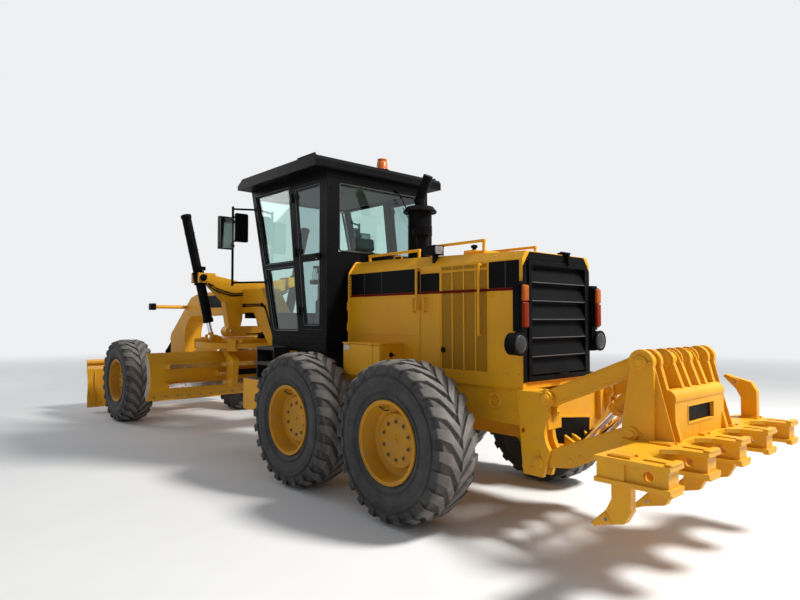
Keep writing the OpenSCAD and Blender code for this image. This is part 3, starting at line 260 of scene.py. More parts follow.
tyres = {k: tyre("tyre_rubber_" + k, x) for k, x in AXLES.items()}


def mottled(name, noise, a, b, rough=None, bump=None, low=0.4, high=0.7, **values):
    """Material whose tone drifts from a to b, perhaps with uneven roughness and a fine relief."""
    s = Shade(name).set(**values)
    s.color(s.blend(s.span(s.noise(*noise), low, high), a, b))
    if rough:
        s.rough(s.span(s.noise(*rough[0]), 0.3, 0.7, *rough[1:]))
    if bump:
        s.bump(s.noise(*bump[0]), *bump[1:])
    return s


def glass(name, tint):
    return Shade(name).set(Base_Color=(*tint, 1), Roughness=0.02, Transmission_Weight=1.0, IOR=1.45).mat


tinted = glass("tinted_glass", (0.70, 0.86, 0.82))
# door panes: a darker tint of the cab glass, standing in for a dark reflection on them: painted reflection
door_glass = glass("door_glass", (0.44, 0.56, 0.58))
chrome = mottled("bright_rod", (18, 4), (0.80, 0.80, 0.82), (0.62, 0.62, 0.63), ((50, 4), 0.10, 0.24),
                 Metallic=1.0).mat
iron = mottled("engine_iron", (12, 6), (0.10, 0.10, 0.10), (0.16, 0.14, 0.12), ((40, 4), 0.5, 0.75),
               ((90, 5), 0.002, 0.6), Metallic=0.6).mat
seat_fabric = mottled("seat_fabric", (700, 2), (0.035, 0.036, 0.040), (0.075, 0.076, 0.080), None,
                      ((900, 2), 0.001, 0.8), high=0.6, Roughness=0.9, Sheen_Weight=0.3).mat
plastic = mottled("dark_plastic", (5, 5), (0.022, 0.022, 0.024), (0.036, 0.036, 0.038),
                  ((80, 3), 0.45, 0.62), ((600, 2), 0.0006, 0.6, 0.003)).mat

s = Shade("mesh_yellow")
grid = s.math("MULTIPLY", s.wave(0, 300), s.wave(2, 300))
# near-black holes between the wires: painted shade for the dark bay seen through the mesh
hole_shade_mask = s.span(grid, 0.12, 0.30)
s.color(s.blend(hole_shade_mask, (0.52, 0.245, 0.008), (0.050, 0.024, 0.003)))
s.rough(s.span(s.noise(60, 3), 0.3, 0.7, 0.42, 0.6))
s.bump(hole_shade_mask, 0.002, -0.8)
mesh_yellow = s.set(Specular_IOR_Level=0.12).mat

plain_plate = paint("plain_plate", (0.62, 0.63, 0.64), (0.55, 0.56, 0.57), 0.45, dust=0.1)
grey = paint("edge_grey", (0.16, 0.17, 0.17), (0.12, 0.13, 0.13), 0.40, dust=0.1)
# grey for the strips on the grille's louvre edges: painted highlight
worn_edge = paint("worn_edge", (0.085, 0.085, 0.088), (0.05, 0.05, 0.053), 0.5, dust=0.1, gloss=0.15)
lining = paint("lining", (0.20, 0.20, 0.19), (0.16, 0.16, 0.155), 0.85, dust=0.0)

rubber = mottled("rubber", (20, 5), (0.010, 0.010, 0.011), (0.022, 0.022, 0.022), ((60, 3), 0.6, 0.85),
                 ((400, 2), 0.0006, 0.6)).mat
mirror = mottled("mirror", (6, 3), (0.27, 0.27, 0.265), (0.21, 0.21, 0.205), ((30, 2), 0.03, 0.08),
                 Metallic=1.0).mat
steel = mottled("worn_steel", (14, 8, 0.7), (0.33, 0.32, 0.31), (0.16, 0.12, 0.09),
                ((45, 5), 0.32, 0.62), ((120, 5, 0.7), 0.001, 0.6), 0.38, 0.66, Metallic=0.85).mat


def lens(name, color, weight, gloss=0.5):
    return mottled(name, (14, 3), color, tuple(c * 0.8 for c in color), None, ((420, 1), 0.0015, 0.6),
                   Roughness=0.2, Transmission_Weight=weight, IOR=1.4, Specular_IOR_Level=gloss).mat


amber = lens("amber_lens", (0.50, 0.10, 0.004), 0.1, 0.25)
red_lens = lens("red_lens", (0.22, 0.020, 0.002), 0.02, 0.1)
beacon_lens = lens("beacon_lens", (0.85, 0.19, 0.006), 0.25)
clear_lens = lens("clear_lens", (0.75, 0.78, 0.80), 0.7)
dark_lens = lens("dark_lens", (0.035, 0.038, 0.042), 0.2)

by_slot = {
    "yellow_paint": yellow, "rim_yellow": rim_yellow, "black_paint": black, "tyre_rubber": tyres["front"],
    "tinted_glass": tinted, "bright_rod": chrome, "engine_iron": iron,
    "seat_fabric": seat_fabric, "dark_plastic": plastic, "lamp_lens": amber,
}
for row in frame["record"]["subparts"]:
    worn = nodes[row["node"]].data.materials
    worn.clear()
    worn.append(by_slot[row["material_slot"]])
nodes["access_steps"].data.materials[0] = step_paint
for side, _ in SIDES:
    nodes["door_" + side + "_glass"].data.materials[0] = door_glass
for name, axle, _ in WHEELS:
    nodes["tyre_" + name].data.materials[0] = tyres[axle]


# ---- detail pieces ----
def ring(n, start=0.0):
    """Angles of n even steps round a circle."""
    return [tau * (k + start) / n for k in range(n)]


class Piece:
    """One mesh piece, measured in millimetres as the part is, made of small closed forms. A form is of the
    slot's own material, or of another one that its call names."""

    def __init__(self, name, body, slot="yellow_paint"):
        self.name, self.body, self.slot = name, body, slot
        self.points, self.faces, self.marks, self.materials = [], [], [], []

    def put(self, points, faces, of):
        of = of or by_slot[self.slot]
        if of not in self.materials:
            self.materials.append(of)
        first = len(self.points)
        self.points += [tuple(p) for p in points]
        self.faces += [[first + i for i in f] for f in faces]
        self.marks += [self.materials.index(of)] * len(faces)

    def box(self, x0, x1, y0, y1, z0, z1, c=2.0, of=None):
        """Block with bevelled edges."""
        c = min(c, (x1 - x0) / 3, (y1 - y0) / 3, (z1 - z0) / 3)
        self.rings(
            [[(x, y, z) for x, y in corner_loop(x0 + i, x1 - i, y0 + i, y1 - i, max(c - i, 0.01))]
             for i, z in ((c, z0), (0, z0 + c), (0, z1 - c), (c, z1))], of)

    def rings(self, loops, of=None, caps=True):
        """Skin over a row of loops that have the same number of points."""
        n = len(loops[0])
        points = [p for loop in loops for p in loop]
        faces = []
        for k in range(len(loops) - 1):
            for i in range(n):
                j = (i + 1) % n
                faces.append((k * n + i, k * n + j, (k + 1) * n + j, (k + 1) * n + i))
        if caps:
            faces += [tuple(range(n - 1, -1, -1)), tuple(range((len(loops) - 1) * n, len(loops) * n))]
        self.put(points, faces, of)

    def turned(self, p, out, profile, n=24, of=None, turn=0.0):
        """Round form that stands on p towards out; the profile lists distances along it and radii."""
        p, d = Vector(p), Vector(out).normalized()
        a = d.orthogonal().normalized()
        b = d.cross(a)
        self.rings([[p + d * t + (a * cos(w) + b * sin(w)) * max(r, 0.05) for w in ring(n, turn)]
                    for t, r in profile], of)

    def rod(self, p, q, r, of=None):
        """Round bar with bevelled ends."""
        way = Vector(q) - Vector(p)
        h = way.length
        c = min(2, r / 3, h / 3)
        self.turned(p, way, [(0, r - c), (c, r), (h - c, r), (h, r - c)], 20, of)

    def bolt(self, p, out, size, of=None, washer=True):
        """Hexagon bolt head on a washer, standing on p towards out."""
        p, out = Vector(p), Vector(out).normalized()
        if washer:
            self.turned(p, out, [(-1, size * 0.95), (2.2, size * 0.95), (2.6, size * 0.88)], 14, of)
            p = p + out * 2.4
        h = size * 0.62
        self.turned(p, out, [(-0.5, size * 0.62), (h - 1.2, size * 0.62), (h, size * 0.50)], 6, of)

    def bolts(self, xs, ys, zs, out, size, **more):
        """A grid of bolts; each axis has a tuple of places, or one place."""
        for p in product(*(v if isinstance(v, (tuple, range)) else (v,) for v in (xs, ys, zs))):
            self.bolt(p, out, size, **more)

    def prism(self, outline, axis, a, b, c=2.0, of=None):
        """Plate with a bevelled outline, from a to b along axis."""
        if sum(p[0] * q[1] - q[0] * p[1] for p, q in zip(outline, outline[1:] + outline[:1])) < 0:
            outline = outline[::-1]
        c = min(c, abs(b - a) / 3)
        inner = inset(outline, c)
        loops = [[{"x": (w, u, v), "y": (u, w, v), "z": (u, v, w)}[axis] for u, v in line]
                 for line, w in ((inner, a), (outline, a + c), (outline, b - c), (inner, b))]
        if axis == "y":
            loops = [loop[::-1] for loop in loops]
        self.rings(loops, of)

    def sweep(self, path, r, n=10, of=None, closed=False):
        """Round tube along a path."""
        path = [Vector(p) for p in path]
        up, loops, last = None, [], len(path) - 1
        for k, p in enumerate(path):
            if closed:
                d = (path[(k + 1) % len(path)] - path[k - 1]).normalized()
            else:
                d = (path[min(k + 1, last)] - path[max(k - 1, 0)]).normalized()
            a = d.orthogonal().normalized() if up is None else (up - d * up.dot(d)).normalized()
            up = a
            b = d.cross(a)
            loops.append([p + (a * cos(w) + b * sin(w)) * r for w in ring(n)])
        if closed:
            loops.append(loops[0])
        self.rings(loops, of, caps=not closed)

    def mirrored(self):
        """Adds the same forms on the other side of the machine."""
        n = len(self.points)
        self.points += [(p[0], -p[1], p[2]) for p in self.points]
        self.faces += [[n + i for i in reversed(f)] for f in self.faces]
        self.marks += self.marks
        return self

    def done(self):
        """Makes the mesh, smooth where its faces meet under 35 degrees, and hangs it on its body."""
        mesh = bpy.data.meshes.new(self.name)
        mesh.from_pydata([at(*p) for p in self.points], [], self.faces)
        for m in self.materials:
            mesh.materials.append(m)
        mesh.polygons.foreach_set("material_index", self.marks)
        mesh.validate()
        mesh.shade_smooth()
        mesh.set_sharp_from_angle(angle=radians(35))
        o = linked(self.name, mesh)
        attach(o, self.body)
        return o


def corner_loop(x0, x1, y0, y1, c):
    """Rectangle with cut corners, as an outline."""
    return [(x0 + c, y0), (x1 - c, y0), (x1, y0 + c), (x1, y1 - c),
            (x1 - c, y1), (x0 + c, y1), (x0, y1 - c), (x0, y0 + c)]


def inset(outline, c):
    """The outline drawn in by c all round."""
    out = []
    n = len(outline)
    for i, p in enumerate(outline):
        p, a, b = Vector(p), Vector(outline[i - 1]), Vector(outline[(i + 1) % n])
        e, f = (p - a).normalized(), (b - p).normalized()
        m = Vector((-e.y - f.y, e.x + f.x))
        m = m.normalized() if m.length > 1e-6 else Vector((-e.y, e.x))
        k = c / max(0.35, m.dot(Vector((-e.y, e.x))))
        out.append(tuple(p + m * k))
    return out


def rounded(x0, x1, y0, y1, r, n=4):
    """Rectangle with round corners, as an outline."""
    out = []
    for cx, cy, a in (
            (x1 - r, y0 + r, -90), (x1 - r, y1 - r, 0), (x0 + r, y1 - r, 90), (x0 + r, y0 + r, 180)):
        for w in (radians(a + 90 * i / n) for i in range(n + 1)):
            out.append((cx + r * cos(w), cy + r * sin(w)))
    return out


def bend(points, r, n=5):
    """A path through points with its corners rounded."""
    out = [Vector(points[0])]
    for a, p, b in zip(points, points[1:], points[2:]):
        a, p, b = Vector(a), Vector(p), Vector(b)
        u, v = a - p, b - p
        k = min(r, u.length * 0.45, v.length * 0.45)
        s, e = p + u.normalized() * k, p + v.normalized() * k
        for i in range(n + 1):
            t = i / n
            out.append(s * (1 - t) ** 2 + p * 2 * t * (1 - t) + e * t ** 2)
    return out + [Vector(points[-1])]


# ---- hood and its lamps ----
# Raised side panels with their bolts
p = Piece("hood_panels", REAR)
for x0, x1, z0, z1, out in ((-412, 640, 1532, 1900, 4), (-412, 640, 1135, 1516, 2),
                            (-1588, -1262, 1135, 1900, 4)):
    p.prism(rounded(x0, x1, z0, z1, 12), "y", HOOD_Y - 1, HOOD_Y + out, 1.5)
for x, z in ((-1560, 1870), (-1560, 1700), (-1300, 1240), (-1440, 1240), (-1560, 1240), (-1300, 1880)):
    p.bolt((x, HOOD_Y + 4, z), LEFT, 11)
p.mirrored().done()

# Front edge: a plate with a row of bolts, hinge pins and the rolled lip
p = Piece("hood_lip", REAR)
p.prism(rounded(650, 698, 1935, 2150, 5), "y", HOOD_Y + 1, HOOD_Y + 6, 1.5)
p.bolts(664, HOOD_Y + 6, range(1950, 2137, 31), LEFT, 13, of=plastic, washer=False)
for z in (1560, 1780):
    p.rod((698, HOOD_Y + 10, z), (698, HOOD_Y + 10, z + 90), 11)
p.mirrored()
lip = [(504, 1140), (504, 2180), (413, 2301), (-413, 2301), (-504, 2180), (-504, 1140)]
p.sweep(bend([(686, y, z) for y, z in lip], 26), 12, 12)
p.done()

# Black band with a dark red line under it
p = Piece("hood_band", REAR, "black_paint")
for x0, x1 in ((-1568, -1254), (-416, 692)):
    p.prism(rounded(x0, x1, 1945, 2168, 8), "y", HOOD_Y - 1, HOOD_Y + 3, 1)
    p.prism(rounded(x0, x1, 1922, 1944, 4), "y", HOOD_Y - 1, HOOD_Y + 3.5, 1, red_stripe)
p.prism(rounded(-1254, -416, 1922, 1944, 4), "y", HOOD_Y - 3, HOOD_Y + 3.5, 1, red_stripe)
p.prism(rounded(-668, -424, 1945, 2112, 6), "y", HOOD_Y - 3, HOOD_Y + 2, 1)
for x in (-1430, 140, 420):
    p.prism(rounded(x - 3, x + 3, 1946, 2167, 1), "y", HOOD_Y + 2, HOOD_Y + 4.5, 0.8, plastic)
p.mirrored().done()

# Wire mesh in the four bays of each side door and on over the bevel, and the plain panel ahead of it
p = Piece("door_mesh", REAR)
bay = (-690 + 1250 - 12) / 4
for i in range(4):
    x0, x1 = -1238 + i * bay + 7, -1238 + (i + 1) * bay - 7
    for z0, z1 in ((1239, 1921), (1945, 2109)):
        p.box(x0 - 1, x1 + 1, HOOD_Y - 15, HOOD_Y - 7, z0, z1, 1, mesh_yellow)
    hood_top = 2300 - 60 * max(0, 200 - x0) / 1900
    for z0, z1 in ((2128, 2160), (2190, 2250)):
        y0, y1 = (HOOD_Y - (90 * (z - hood_top + 120) / 120 if z > 2170 else 0) for z in (z0, z1))
        p.rings([[(x, y0 - 1, z0), (x, y0 + 2, z0 + 1), (x, y1 + 2, z1 + 1), (x, y1 - 1, z1)]
                 for x in (x0, x1)], mesh_yellow)
p.prism(rounded(-680, -430, 1212, 1900, 10), "y", HOOD_Y - 3, HOOD_Y + 2, 1.5)
p.bolts((-1242, -1105, -967, -830, -692), HOOD_Y - 2, (1222, 2116), LEFT, 7, washer=False)
p.mirrored().done()

p = Piece("hood_latches", REAR, "black_paint")
p.turned((-715, HOOD_Y - 3, 1410), LEFT, [(0, 26), (5, 26), (8, 22), (8, 9), (10, 9), (10, 0)], 22)
for x in (-350, -500):
    handle = [(x, HOOD_Y + y, z) for y, z in ((0, 1755), (34, 1755), (34, 1880), (0, 1880))]
    p.sweep(bend(handle, 22), 8, of=yellow)
p.mirrored().done()

p = Piece("hood_top_fittings", REAR)
p.prism(rounded(-1500, -1240, -330, 330, 26), "z", 2243, 2252, 2.5)
p.prism(rounded(-900, -660, -150, 150, 20), "z", 2266, 2330, 6)
p.bolts(-780, (-120, 120), 2330, UP, 12)
for y in (-300, 300):
    p.sweep(bend([(x, y, z) for x, z in ((60, 2290), (60, 2340), (180, 2340), (180, 2296))], 30), 9)
p.prism(rounded(-640, -480, -190, -40, 12), "z", 2270, 2372, 5)
p.turned((-560, -115, 2370), UP,
         [(0, 30), (10, 30), (14, 20), (26, 20), (32, 34), (50, 34), (58, 26), (62, 10)], 24, black)
p.box(-1624, -1540, -160, -80, 2236, 2268, 6, black)
p.box(-1640, -1612, -136, -104, 2150, 2262, 6, black)
p.rod((-1600, -190, 2262), (-1600, -50, 2262), 10, black)
p.bolts((-1480, -1370, -1260), (-300, 300), 2252, UP, 10)
for s in (-1, 1):
    p.bolts((600, 300, 0, -300, -1300, -1500), s * 470, 2220, (0, s * 0.8, 0.6), 9)
p.done()

# Rear grille: bolts, its black surround, lighter grey strips on the lower edges of its louvres as painted
# highlight, and a handle
p = Piece("rear_door_fittings", REAR, "black_paint")
for z in (1240, 2110):
    p.bolts(-1620, (-400, 400), z, BACK, 12)
for strip in ([(444, 1176), (496, 1176), (496, 2118), (444, 2186)],
              [(-496, 1176), (-444, 1176), (-444, 2186), (-496, 2118)],
              [(-444, 2174), (444, 2174), (444, 2187), (404, 2237), (-404, 2237), (-444, 2187)]):
    p.prism(strip, "x", -1607, -1599)
for i in range(1, 6):
    z = 1222 + i * 151.7
    p.prism([(-1621, z + 6), (-1618, z + 2), (-1614, z + 10), (-1617, z + 12)], "y", -396, 396, 1, worn_edge)
p.sweep(bend([(x, y, 1230) for x, y in ((-1618, 60), (-1660, 60), (-1660, -60), (-1618, -60))], 25), 9)
p.done()

# Lamps
p = Piece("tail_lenses", REAR, "lamp_lens")
for z0, z1, glow in ((1828, 1958, amber), (1622, 1822, red_lens)):
    p.rings([[(x, y, z) for y, z in rounded(512 + i, 584 - i, z0 + i, z1 - i, 9)[::-1]]
             for x, i in ((-1654, 0), (-1668, 0), (-1674, 4), (-1677, 12))], glow)
p.mirrored().done()

p = Piece("lamp_glass", REAR, "tinted_glass")
for s in (1, -1):
    p.turned((-1649, s * 600, 1490), BACK, [(0, 74), (8, 74), (14, 66), (17, 40), (18, 0)], 32, dark_lens)
    p.prism(rounded(*sorted((s * 410, s * 520)), 2290, 2363, 16), "x", -640, -630, 2, clear_lens)
p.turned((800, -60, ROOF_Z + 6), UP, [(0, 66), (4, 66), (86, 62), (110, 46), (121, 20), (122, 0)],
         32, beacon_lens)
p.done()

p = Piece("lamp_bezels", REAR, "black_paint")
p.turned((-1640, 600, 1490), BACK, [(0, 92), (10, 94), (18, 92), (20, 84), (20, 76), (9, 76)], 32)
p.box(-634, -618, 396, 534, 2279, 2374, 5)
p.sweep(bend([(-560, 460, 2290), (-560, 392, 2290), (-560, 392, 2340)], 12), 7)
for z in (1440, 1650, 1800, 1940):
    p.bolt((-1600, 590 if z > 1600 else 560, z), LEFT, 9)
p.mirrored()
p.turned((800, -60, ROOF_Z), UP, [(0, 84), (6, 84), (10, 76), (10, 60)], 28, plastic)
p.done()

# ---- wheels ----
for name, axle, s in WHEELS:
    x, outward = AXLES[axle], (0, s, 0)

    def out(t, r, w):
        """Point of the wheel: t outwards from the tyre's middle, r from the axle, w round it."""
        return (x + r * cos(w), s * (TRACK_Y + t), AXLE_Z + r * sin(w))

    p = Piece("rim_trim_" + name, "wheel_" + name, "rim_yellow")
    p.turned(out(44, 0, 0), outward, [(0, 232), (22, 232), (31, 222), (33, 204), (33, 60)], 64)
    # ten nuts on yellow collars; the nuts' dark colour is painted shade for nuts lying in shadow
    for k, w in enumerate(ring(10, 0.5)):
        p.turned(out(74, 158, w), outward, [(0, 24), (6, 23), (8, 19)], 20)
        p.turned(out(80, 158, w), outward, [(0, 16), (8, 16), (11, 12)], 6, plastic, k * 0.2)
    for w in ring(8, 0.5):
        p.bolt(out(70, 82, w), outward, 10, washer=False)
    p.turned(out(69, 0, 0), outward, [(0, 62), (6, 62), (10, 55), (14, 30), (14, 22), (22, 20), (24, 12)], 28)
    p.sweep([out(196, 341, w) for w in ring(72)], 7, 8, closed=True)
    p.sweep([out(62, 296, w) for w in ring(64)], 5, 6, closed=True)
    p.sweep(bend([out(58, 268, 1.1), out(100, 268, 1.1), out(132, 300, 1.1)], 24), 6, 8, plastic)
    valve = Vector(out(128, 296, 1.1))
    p.turned(valve, Vector(out(146, 312, 1.1)) - valve, [(0, 8), (4, 9), (20, 9), (24, 6)], 12, plastic)
    p.done()

    p = Piece("tyre_trim_" + name, "wheel_" + name, "tyre_rubber")
    for side in (1, -1):
        for r, t, thick in ((402, 208.5, 5), (418, 210.5, 3), (545, 217, 3.5), (556, 216, 2.5)):
            p.sweep([out(side * t, r, w) for w in ring(72)], thick, 6, tyres[axle], closed=True)
    p.done()

# ---- rear frame, steps and the boxes beside the hood ----
p = Piece("frame_bolts", REAR)
p.bolts(range(-1450, 1480, 180), 480, 1095, LEFT, 13)
for x, z in ((-1590, 1050), (-1590, 900), (-1700, 530), (-1620, 530)):
    p.bolt((x, 532, z), LEFT, 13)
for x, z in ((LINK_X, 1070), (-1765, 585)):
    p.turned((x, 520, z), LEFT, [(0, 44), (28, 44), (34, 38), (34, 30), (40, 30), (44, 26)], 28)
    p.box(x - 12, x + 12, 531, 542, z + 46, z + 84)
    p.bolt((x, 541, z + 68), LEFT, 8)
p.mirrored().done()

p = Piece("side_box_trim", REAR)
p.prism(rounded(-60, 398, 1137, 1438, 10), "y", 789, 794)
p.box(-181, 416, 503, 796, 1444, 1456, 3)
p.box(-181, -171, 620, 700, 1300, 1410, 3)
p.turned((-172, 660, 1345), BACK, [(0, 24), (10, 24), (14, 18), (14, 10), (30, 10), (32, 7)], 20, black)
p.box(-214, -200, 636, 684, 1338, 1352, 3, black)
p.prism(rounded(300, 385, 1380, 1428, 6), "y", 793, 796, 0.8, plain_plate)
for x in (-140, 30, 350):
    p.bolt((x, 789 if x < -60 else 794, 1165), LEFT, 9)
for x in (-20, 330):
    p.rod((x - 34, 796, 1441), (x + 34, 796, 1441), 9)
p.mirrored().done()

p = Piece("step_treads", REAR, "black_paint")
for z0, x0, x1, y0, y1 in (
        (840, 1530, 1955, 760, 1058), (665, 1530, 1955, 760, 1058), (1000, 1510, 1950, 712, 1072),
        (1190, 1500, 1850, 760, 952), (1365, 1500, 1850, 760, 952)):
    p.box(x0, x1, y0, y1, z0 - 0.5, z0 + 4, 1, plastic)
    rows = int((y1 - y0) / 32)
    for i in range(rows):
        y = y0 + 16 + i * (y1 - y0 - 20) / rows
        for j in range(9):
            x = x0 + 24 + j * (x1 - x0 - 48) / 8
            p.turned((x, y, z0 + 3), UP, [(0, 10), (6, 8), (8, 6), (5, 5)], 10, plastic)
p.mirrored().done()

# ---- cab ----
def front_x(z):
    return 1880 + 530 * (z - 1480) / 1820


def mid_x(z):
    return 1270 + 230 * (z - 1560) / 1740


def slanted(x0, x1, z0, z1, y):
    """Corners of an opening in the cab's side, its ends given by functions of height."""
    return [(x0(z0), y, z0), (x1(z0), y, z0), (x1(z1), y, z1), (x0(z1), y, z1)]


def seal(piece, corners, r, of, turn=30):
    """Rubber bead round an opening with rounded corners."""
    n = len(corners)
    middle = [(Vector(corners[i]) + Vector(corners[(i + 1) % n])) / 2 for i in range(n)]
    path = []
    for i in range(n):
        path += bend([middle[i - 1], corners[i], middle[i]], turn, 4)[:-1]
    piece.sweep(path, r, 8, of, closed=True)


p = Piece("pane_seals_left", REAR, "dark_plastic")
for z0, z1 in ((1568, 2282), (2358, 3212)):
    seal(p, slanted(lambda z: mid_x(z) + 48, lambda z: front_x(z) - 88, z0, z1, CAB_Y - 22), 8, rubber)
    seal(p, slanted(lambda z: mid_x(z) + 37, lambda z: front_x(z) - 77, z0 - 11, z1 + 11, CAB_Y + 1),
         4, grey, 24)
p.mirrored().done()

for side, s in SIDES:
    p = Piece("door_trim_" + side, "door_" + side, "black_paint")
    for z0, z1 in ((1630, 2335), (2405, 3150)):
        seal(p, slanted(lambda z: 902, lambda z: mid_x(z) - 107, z0, z1, s * (CAB_Y - 14)), 8, rubber)
    seal(p, slanted(lambda z: 890, lambda z: mid_x(z) - 96, 1620, 3164, s * (CAB_Y + 1)), 3.5, grey, 24)
    seal(p, slanted(lambda z: 841, lambda z: mid_x(z) - 52, 1571, 3209, s * (CAB_Y - 1)), 3.5, rubber, 18)
    y0, y1 = sorted((s * (CAB_Y - 2), s * (CAB_Y + 12)))
    p.prism(rounded(858, 1010, 2336, 2404, 14), "y", y0, y1, 3)
    handle = [(x, s * (CAB_Y + y), 2385) for x, y in ((885, 6), (885, 44), (990, 44), (990, 6))]
    p.sweep(bend(handle, 16), 8)
    p.turned((930, s * (CAB_Y + 8), 2352), (0, s, 0), [(0, 11), (8, 11), (12, 8), (12, 3)], 16, chrome)
    grip = [(870, s * (CAB_Y - y), z) for y, z in ((30, 1700), (80, 1730), (80, 2200), (30, 2230))]
    p.sweep(bend(grip, 30), 10, of=plastic)
    p.bolts(860, s * CAB_Y, (1660, 3080), (0, s, 0), 9)
    p.done()

p = Piece("cab_trim", REAR, "black_paint")
p.bolts(750, (-708.61, 708.61), (1620, 1900, 2200, 2500, 2800, 3100), BACK, 10)
seal(p, [(748, -592, 2428), (748, 592, 2428), (748, 592, 3162), (748, -592, 3162)], 9, rubber)
seal(p, [(front_x(z) + 3, y, z) for y, z in ((-652, 1758), (652, 1758), (652, 3212), (-652, 3212))],
     9, rubber)
for z0 in (1352, 1440):
    p.box(744, 751, -700, 700, z0, z0 + 60)
for y in (CAB_Y - 1, -CAB_Y - 6):
    p.box(756, 1860, y, y + 7, 1345, 1500)
for x in range(820, 1850, 200):
    for s in (1, -1):
        p.bolt((x, s * (CAB_Y + 6), 1422), (0, s, 0), 11)
# wipers with their motors, on the rear window and the windscreen
p.turned((760, -230, 3190), BACK, [(0, 30), (20, 30), (28, 22), (28, 10), (38, 10)], 20)
p.sweep([(724, -230, 3188), (716, -300, 3100), (720, -400, 2960), (730, -470, 2860)], 7)
p.sweep([(737, -330, 3010), (737, -540, 2730)], 6, 6, rubber)
x = front_x(3240)
p.turned((x - 6, 60, 3240), AHEAD, [(0, 30), (22, 30), (30, 22), (30, 10), (40, 10)], 20)
p.sweep([(front_x(z) + 22, y, z) for y, z in ((60, 3236), (120, 3000), (190, 2760))], 7)
p.sweep([(front_x(z) + 9, y, z) for y, z in ((110, 2980), (240, 2420))], 6, 6, rubber)
p.done()

p = Piece("roof_trim", REAR, "black_paint")
p.prism([(820, -820), (2180, -820), (2180, 820), (820, 820)], "z", ROOF_Z, ROOF_Z + 9, 4)
for x in (900, 1200, 1500, 1800, 2100):
    p.box(x - 22, x + 22, -790, 790, ROOF_Z + 7, ROOF_Z + 17, 3)
for y in (-877.4, 877.4):
    p.bolts((780, 1300, 1800, 2250), y, ROOF_Z + 1, UP, 11)
p.box(662, 676, -880, 880, 3300, 3316, 3)
for y in (-900, 900):
    p.sweep(bend([(x, y, ROOF_Z + z) for x, z in ((760, 0), (760, 27), (1100, 27), (1100, 0))], 16), 8)
p.done()

# ---- inside the cab ----
p = Piece("cab_lining", REAR, "dark_plastic")
p.box(815, 1880, -690, 690, 1520.5, 1532, 3, rubber)
for i in range(12):
    p.box(840 + i * 85, 860 + i * 85, -660, 660, 1531, 1536, 2, rubber)
p.box(830, 2300, -640, 640, 3222, 3236, 5, lining)
p.box(812, 826, -560, 560, 1560, 2380, 5, lining)
for y in (-560, 560):
    p.box(830, 1120, y - 90, y + 90, 1532, 1900, 14)
    p.box(845, 1105, y - 75, y + 75, 1898, 1925, 8)
p.done()

p = Piece("control_fittings", REAR, "dark_plastic")
tilt = radians(-25)


def wheel_point(r, w, h):
    """Point of the steering wheel: r from its axis, w round it, h along it."""
    u, v = r * cos(w), r * sin(w)
    return (1700 + u * cos(tilt) + h * sin(tilt), v, 2240 - u * sin(tilt) + h * cos(tilt))


p.sweep([wheel_point(186, w, 17) for w in ring(48)], 20, 12, closed=True)
for w in (w + 0.5 for w in ring(3)):
    p.sweep([wheel_point(30, w, 14), wheel_point(110, w, 10), wheel_point(180, w, 17)], 11, 8)
p.turned(wheel_point(0, 0, 4), (sin(tilt), 0, cos(tilt)), [(0, 58), (24, 56), (34, 44), (38, 24)])
for s in (1, -1):
    p.box(1690, 1800, s * 205 - 72, s * 205 + 72, 2120, 2178, 12)
    for i in range(5):
        y = s * (150 + 28 * i)
        p.sweep(bend([(1750, y, 2170), (1750, y, 2240), (1715, y, 2320)], 30), 5, 8, chrome)
        p.turned((1717, y, 2312), (-11, 0, 40), [(0, 7), (8, 12), (26, 14), (36, 11), (41, 4)], 12)
for y in (-60, 60):
    p.prism(rounded(y - 34, y + 34, 1600, 1690, 8), "x", 1640, 1654, 3, rubber)
    p.rod((1652, y, 1640), (1690, y, 1600), 8)
p.box(1800, 1850, -120, 120, 2170, 2290, 16)
for y in (-70, 0, 70):
    p.turned((1806, y, 2240), BACK, [(0, 26), (8, 26), (10, 23), (7, 21)], 20, chrome)
p.done()


def cushion(name, middle, size, crown, turn=0.0, channels=()):
    """Padded block: crowned faces, sides drawn in between the corners, a seam round it and sewn channels."""
    bm = bmesh.new()
    bmesh.ops.create_cube(bm, size=2)
    bmesh.ops.subdivide_edges(bm, edges=bm.edges, cuts=15, use_grid_fill=True)
    sx, sy, sz = (v / 2 for v in size)
    spin = Matrix.Rotation(turn, 3, "Y")
    for v in bm.verts:
        x, y, z = v.co
        edge_x, edge_y = 1 - x ** 4, 1 - y ** 4
        soft = (abs(x) ** 6 + abs(y) ** 6 + abs(z) ** 6) ** (1 / 6)
        p = Vector((x / soft * sx, y / soft * sy, z / soft * sz))
        p.x -= copysign(0.05, x) * sx * (1 - y * y) * abs(x) ** 3
        p.y -= copysign(0.05, y) * sy * (1 - x * x) * abs(y) ** 3
        p.z += copysign(crown, z) * edge_x * edge_y * abs(z) * (1.0 if z > 0 else 0.15)
        for c in channels:
            p.z -= 9 * exp(-((p.y - c) / 9) ** 2) * max(0.0, z)
        if max(abs(x), abs(y)) > 0.98:
            p.z += copysign(3.5, z) * exp(-((abs(z) - 0.62) / 0.08) ** 2)
        v.co = at(*(Vector(middle) + spin @ p))
    mesh = bpy.data.meshes.new(name)
    bm.to_mesh(mesh)
    bm.free()
    mesh.materials.append(seat_fabric)
    mesh.shade_smooth()
    o = linked(name, mesh)
    smooth = o.modifiers.new("smooth", "SUBSURF")
    smooth.levels = smooth.render_levels = 1
    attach(o, REAR)


cushion("seat_cushion", (1325, 0, 1885), (470, 500, 130), 16, channels=(-130, 130))
lean = radians(-83.5)
cushion("seat_back", (1125, 0, 2240), (560, 470, 110), 14, lean, (-120, 120))
cushion("head_rest", (1078, 0, 2570), (150, 300, 96), 10, lean)
for side, s in SIDES:
    cushion("arm_rest_" + side, (1300, s * 300, 2112), (350, 62, 54), 5)

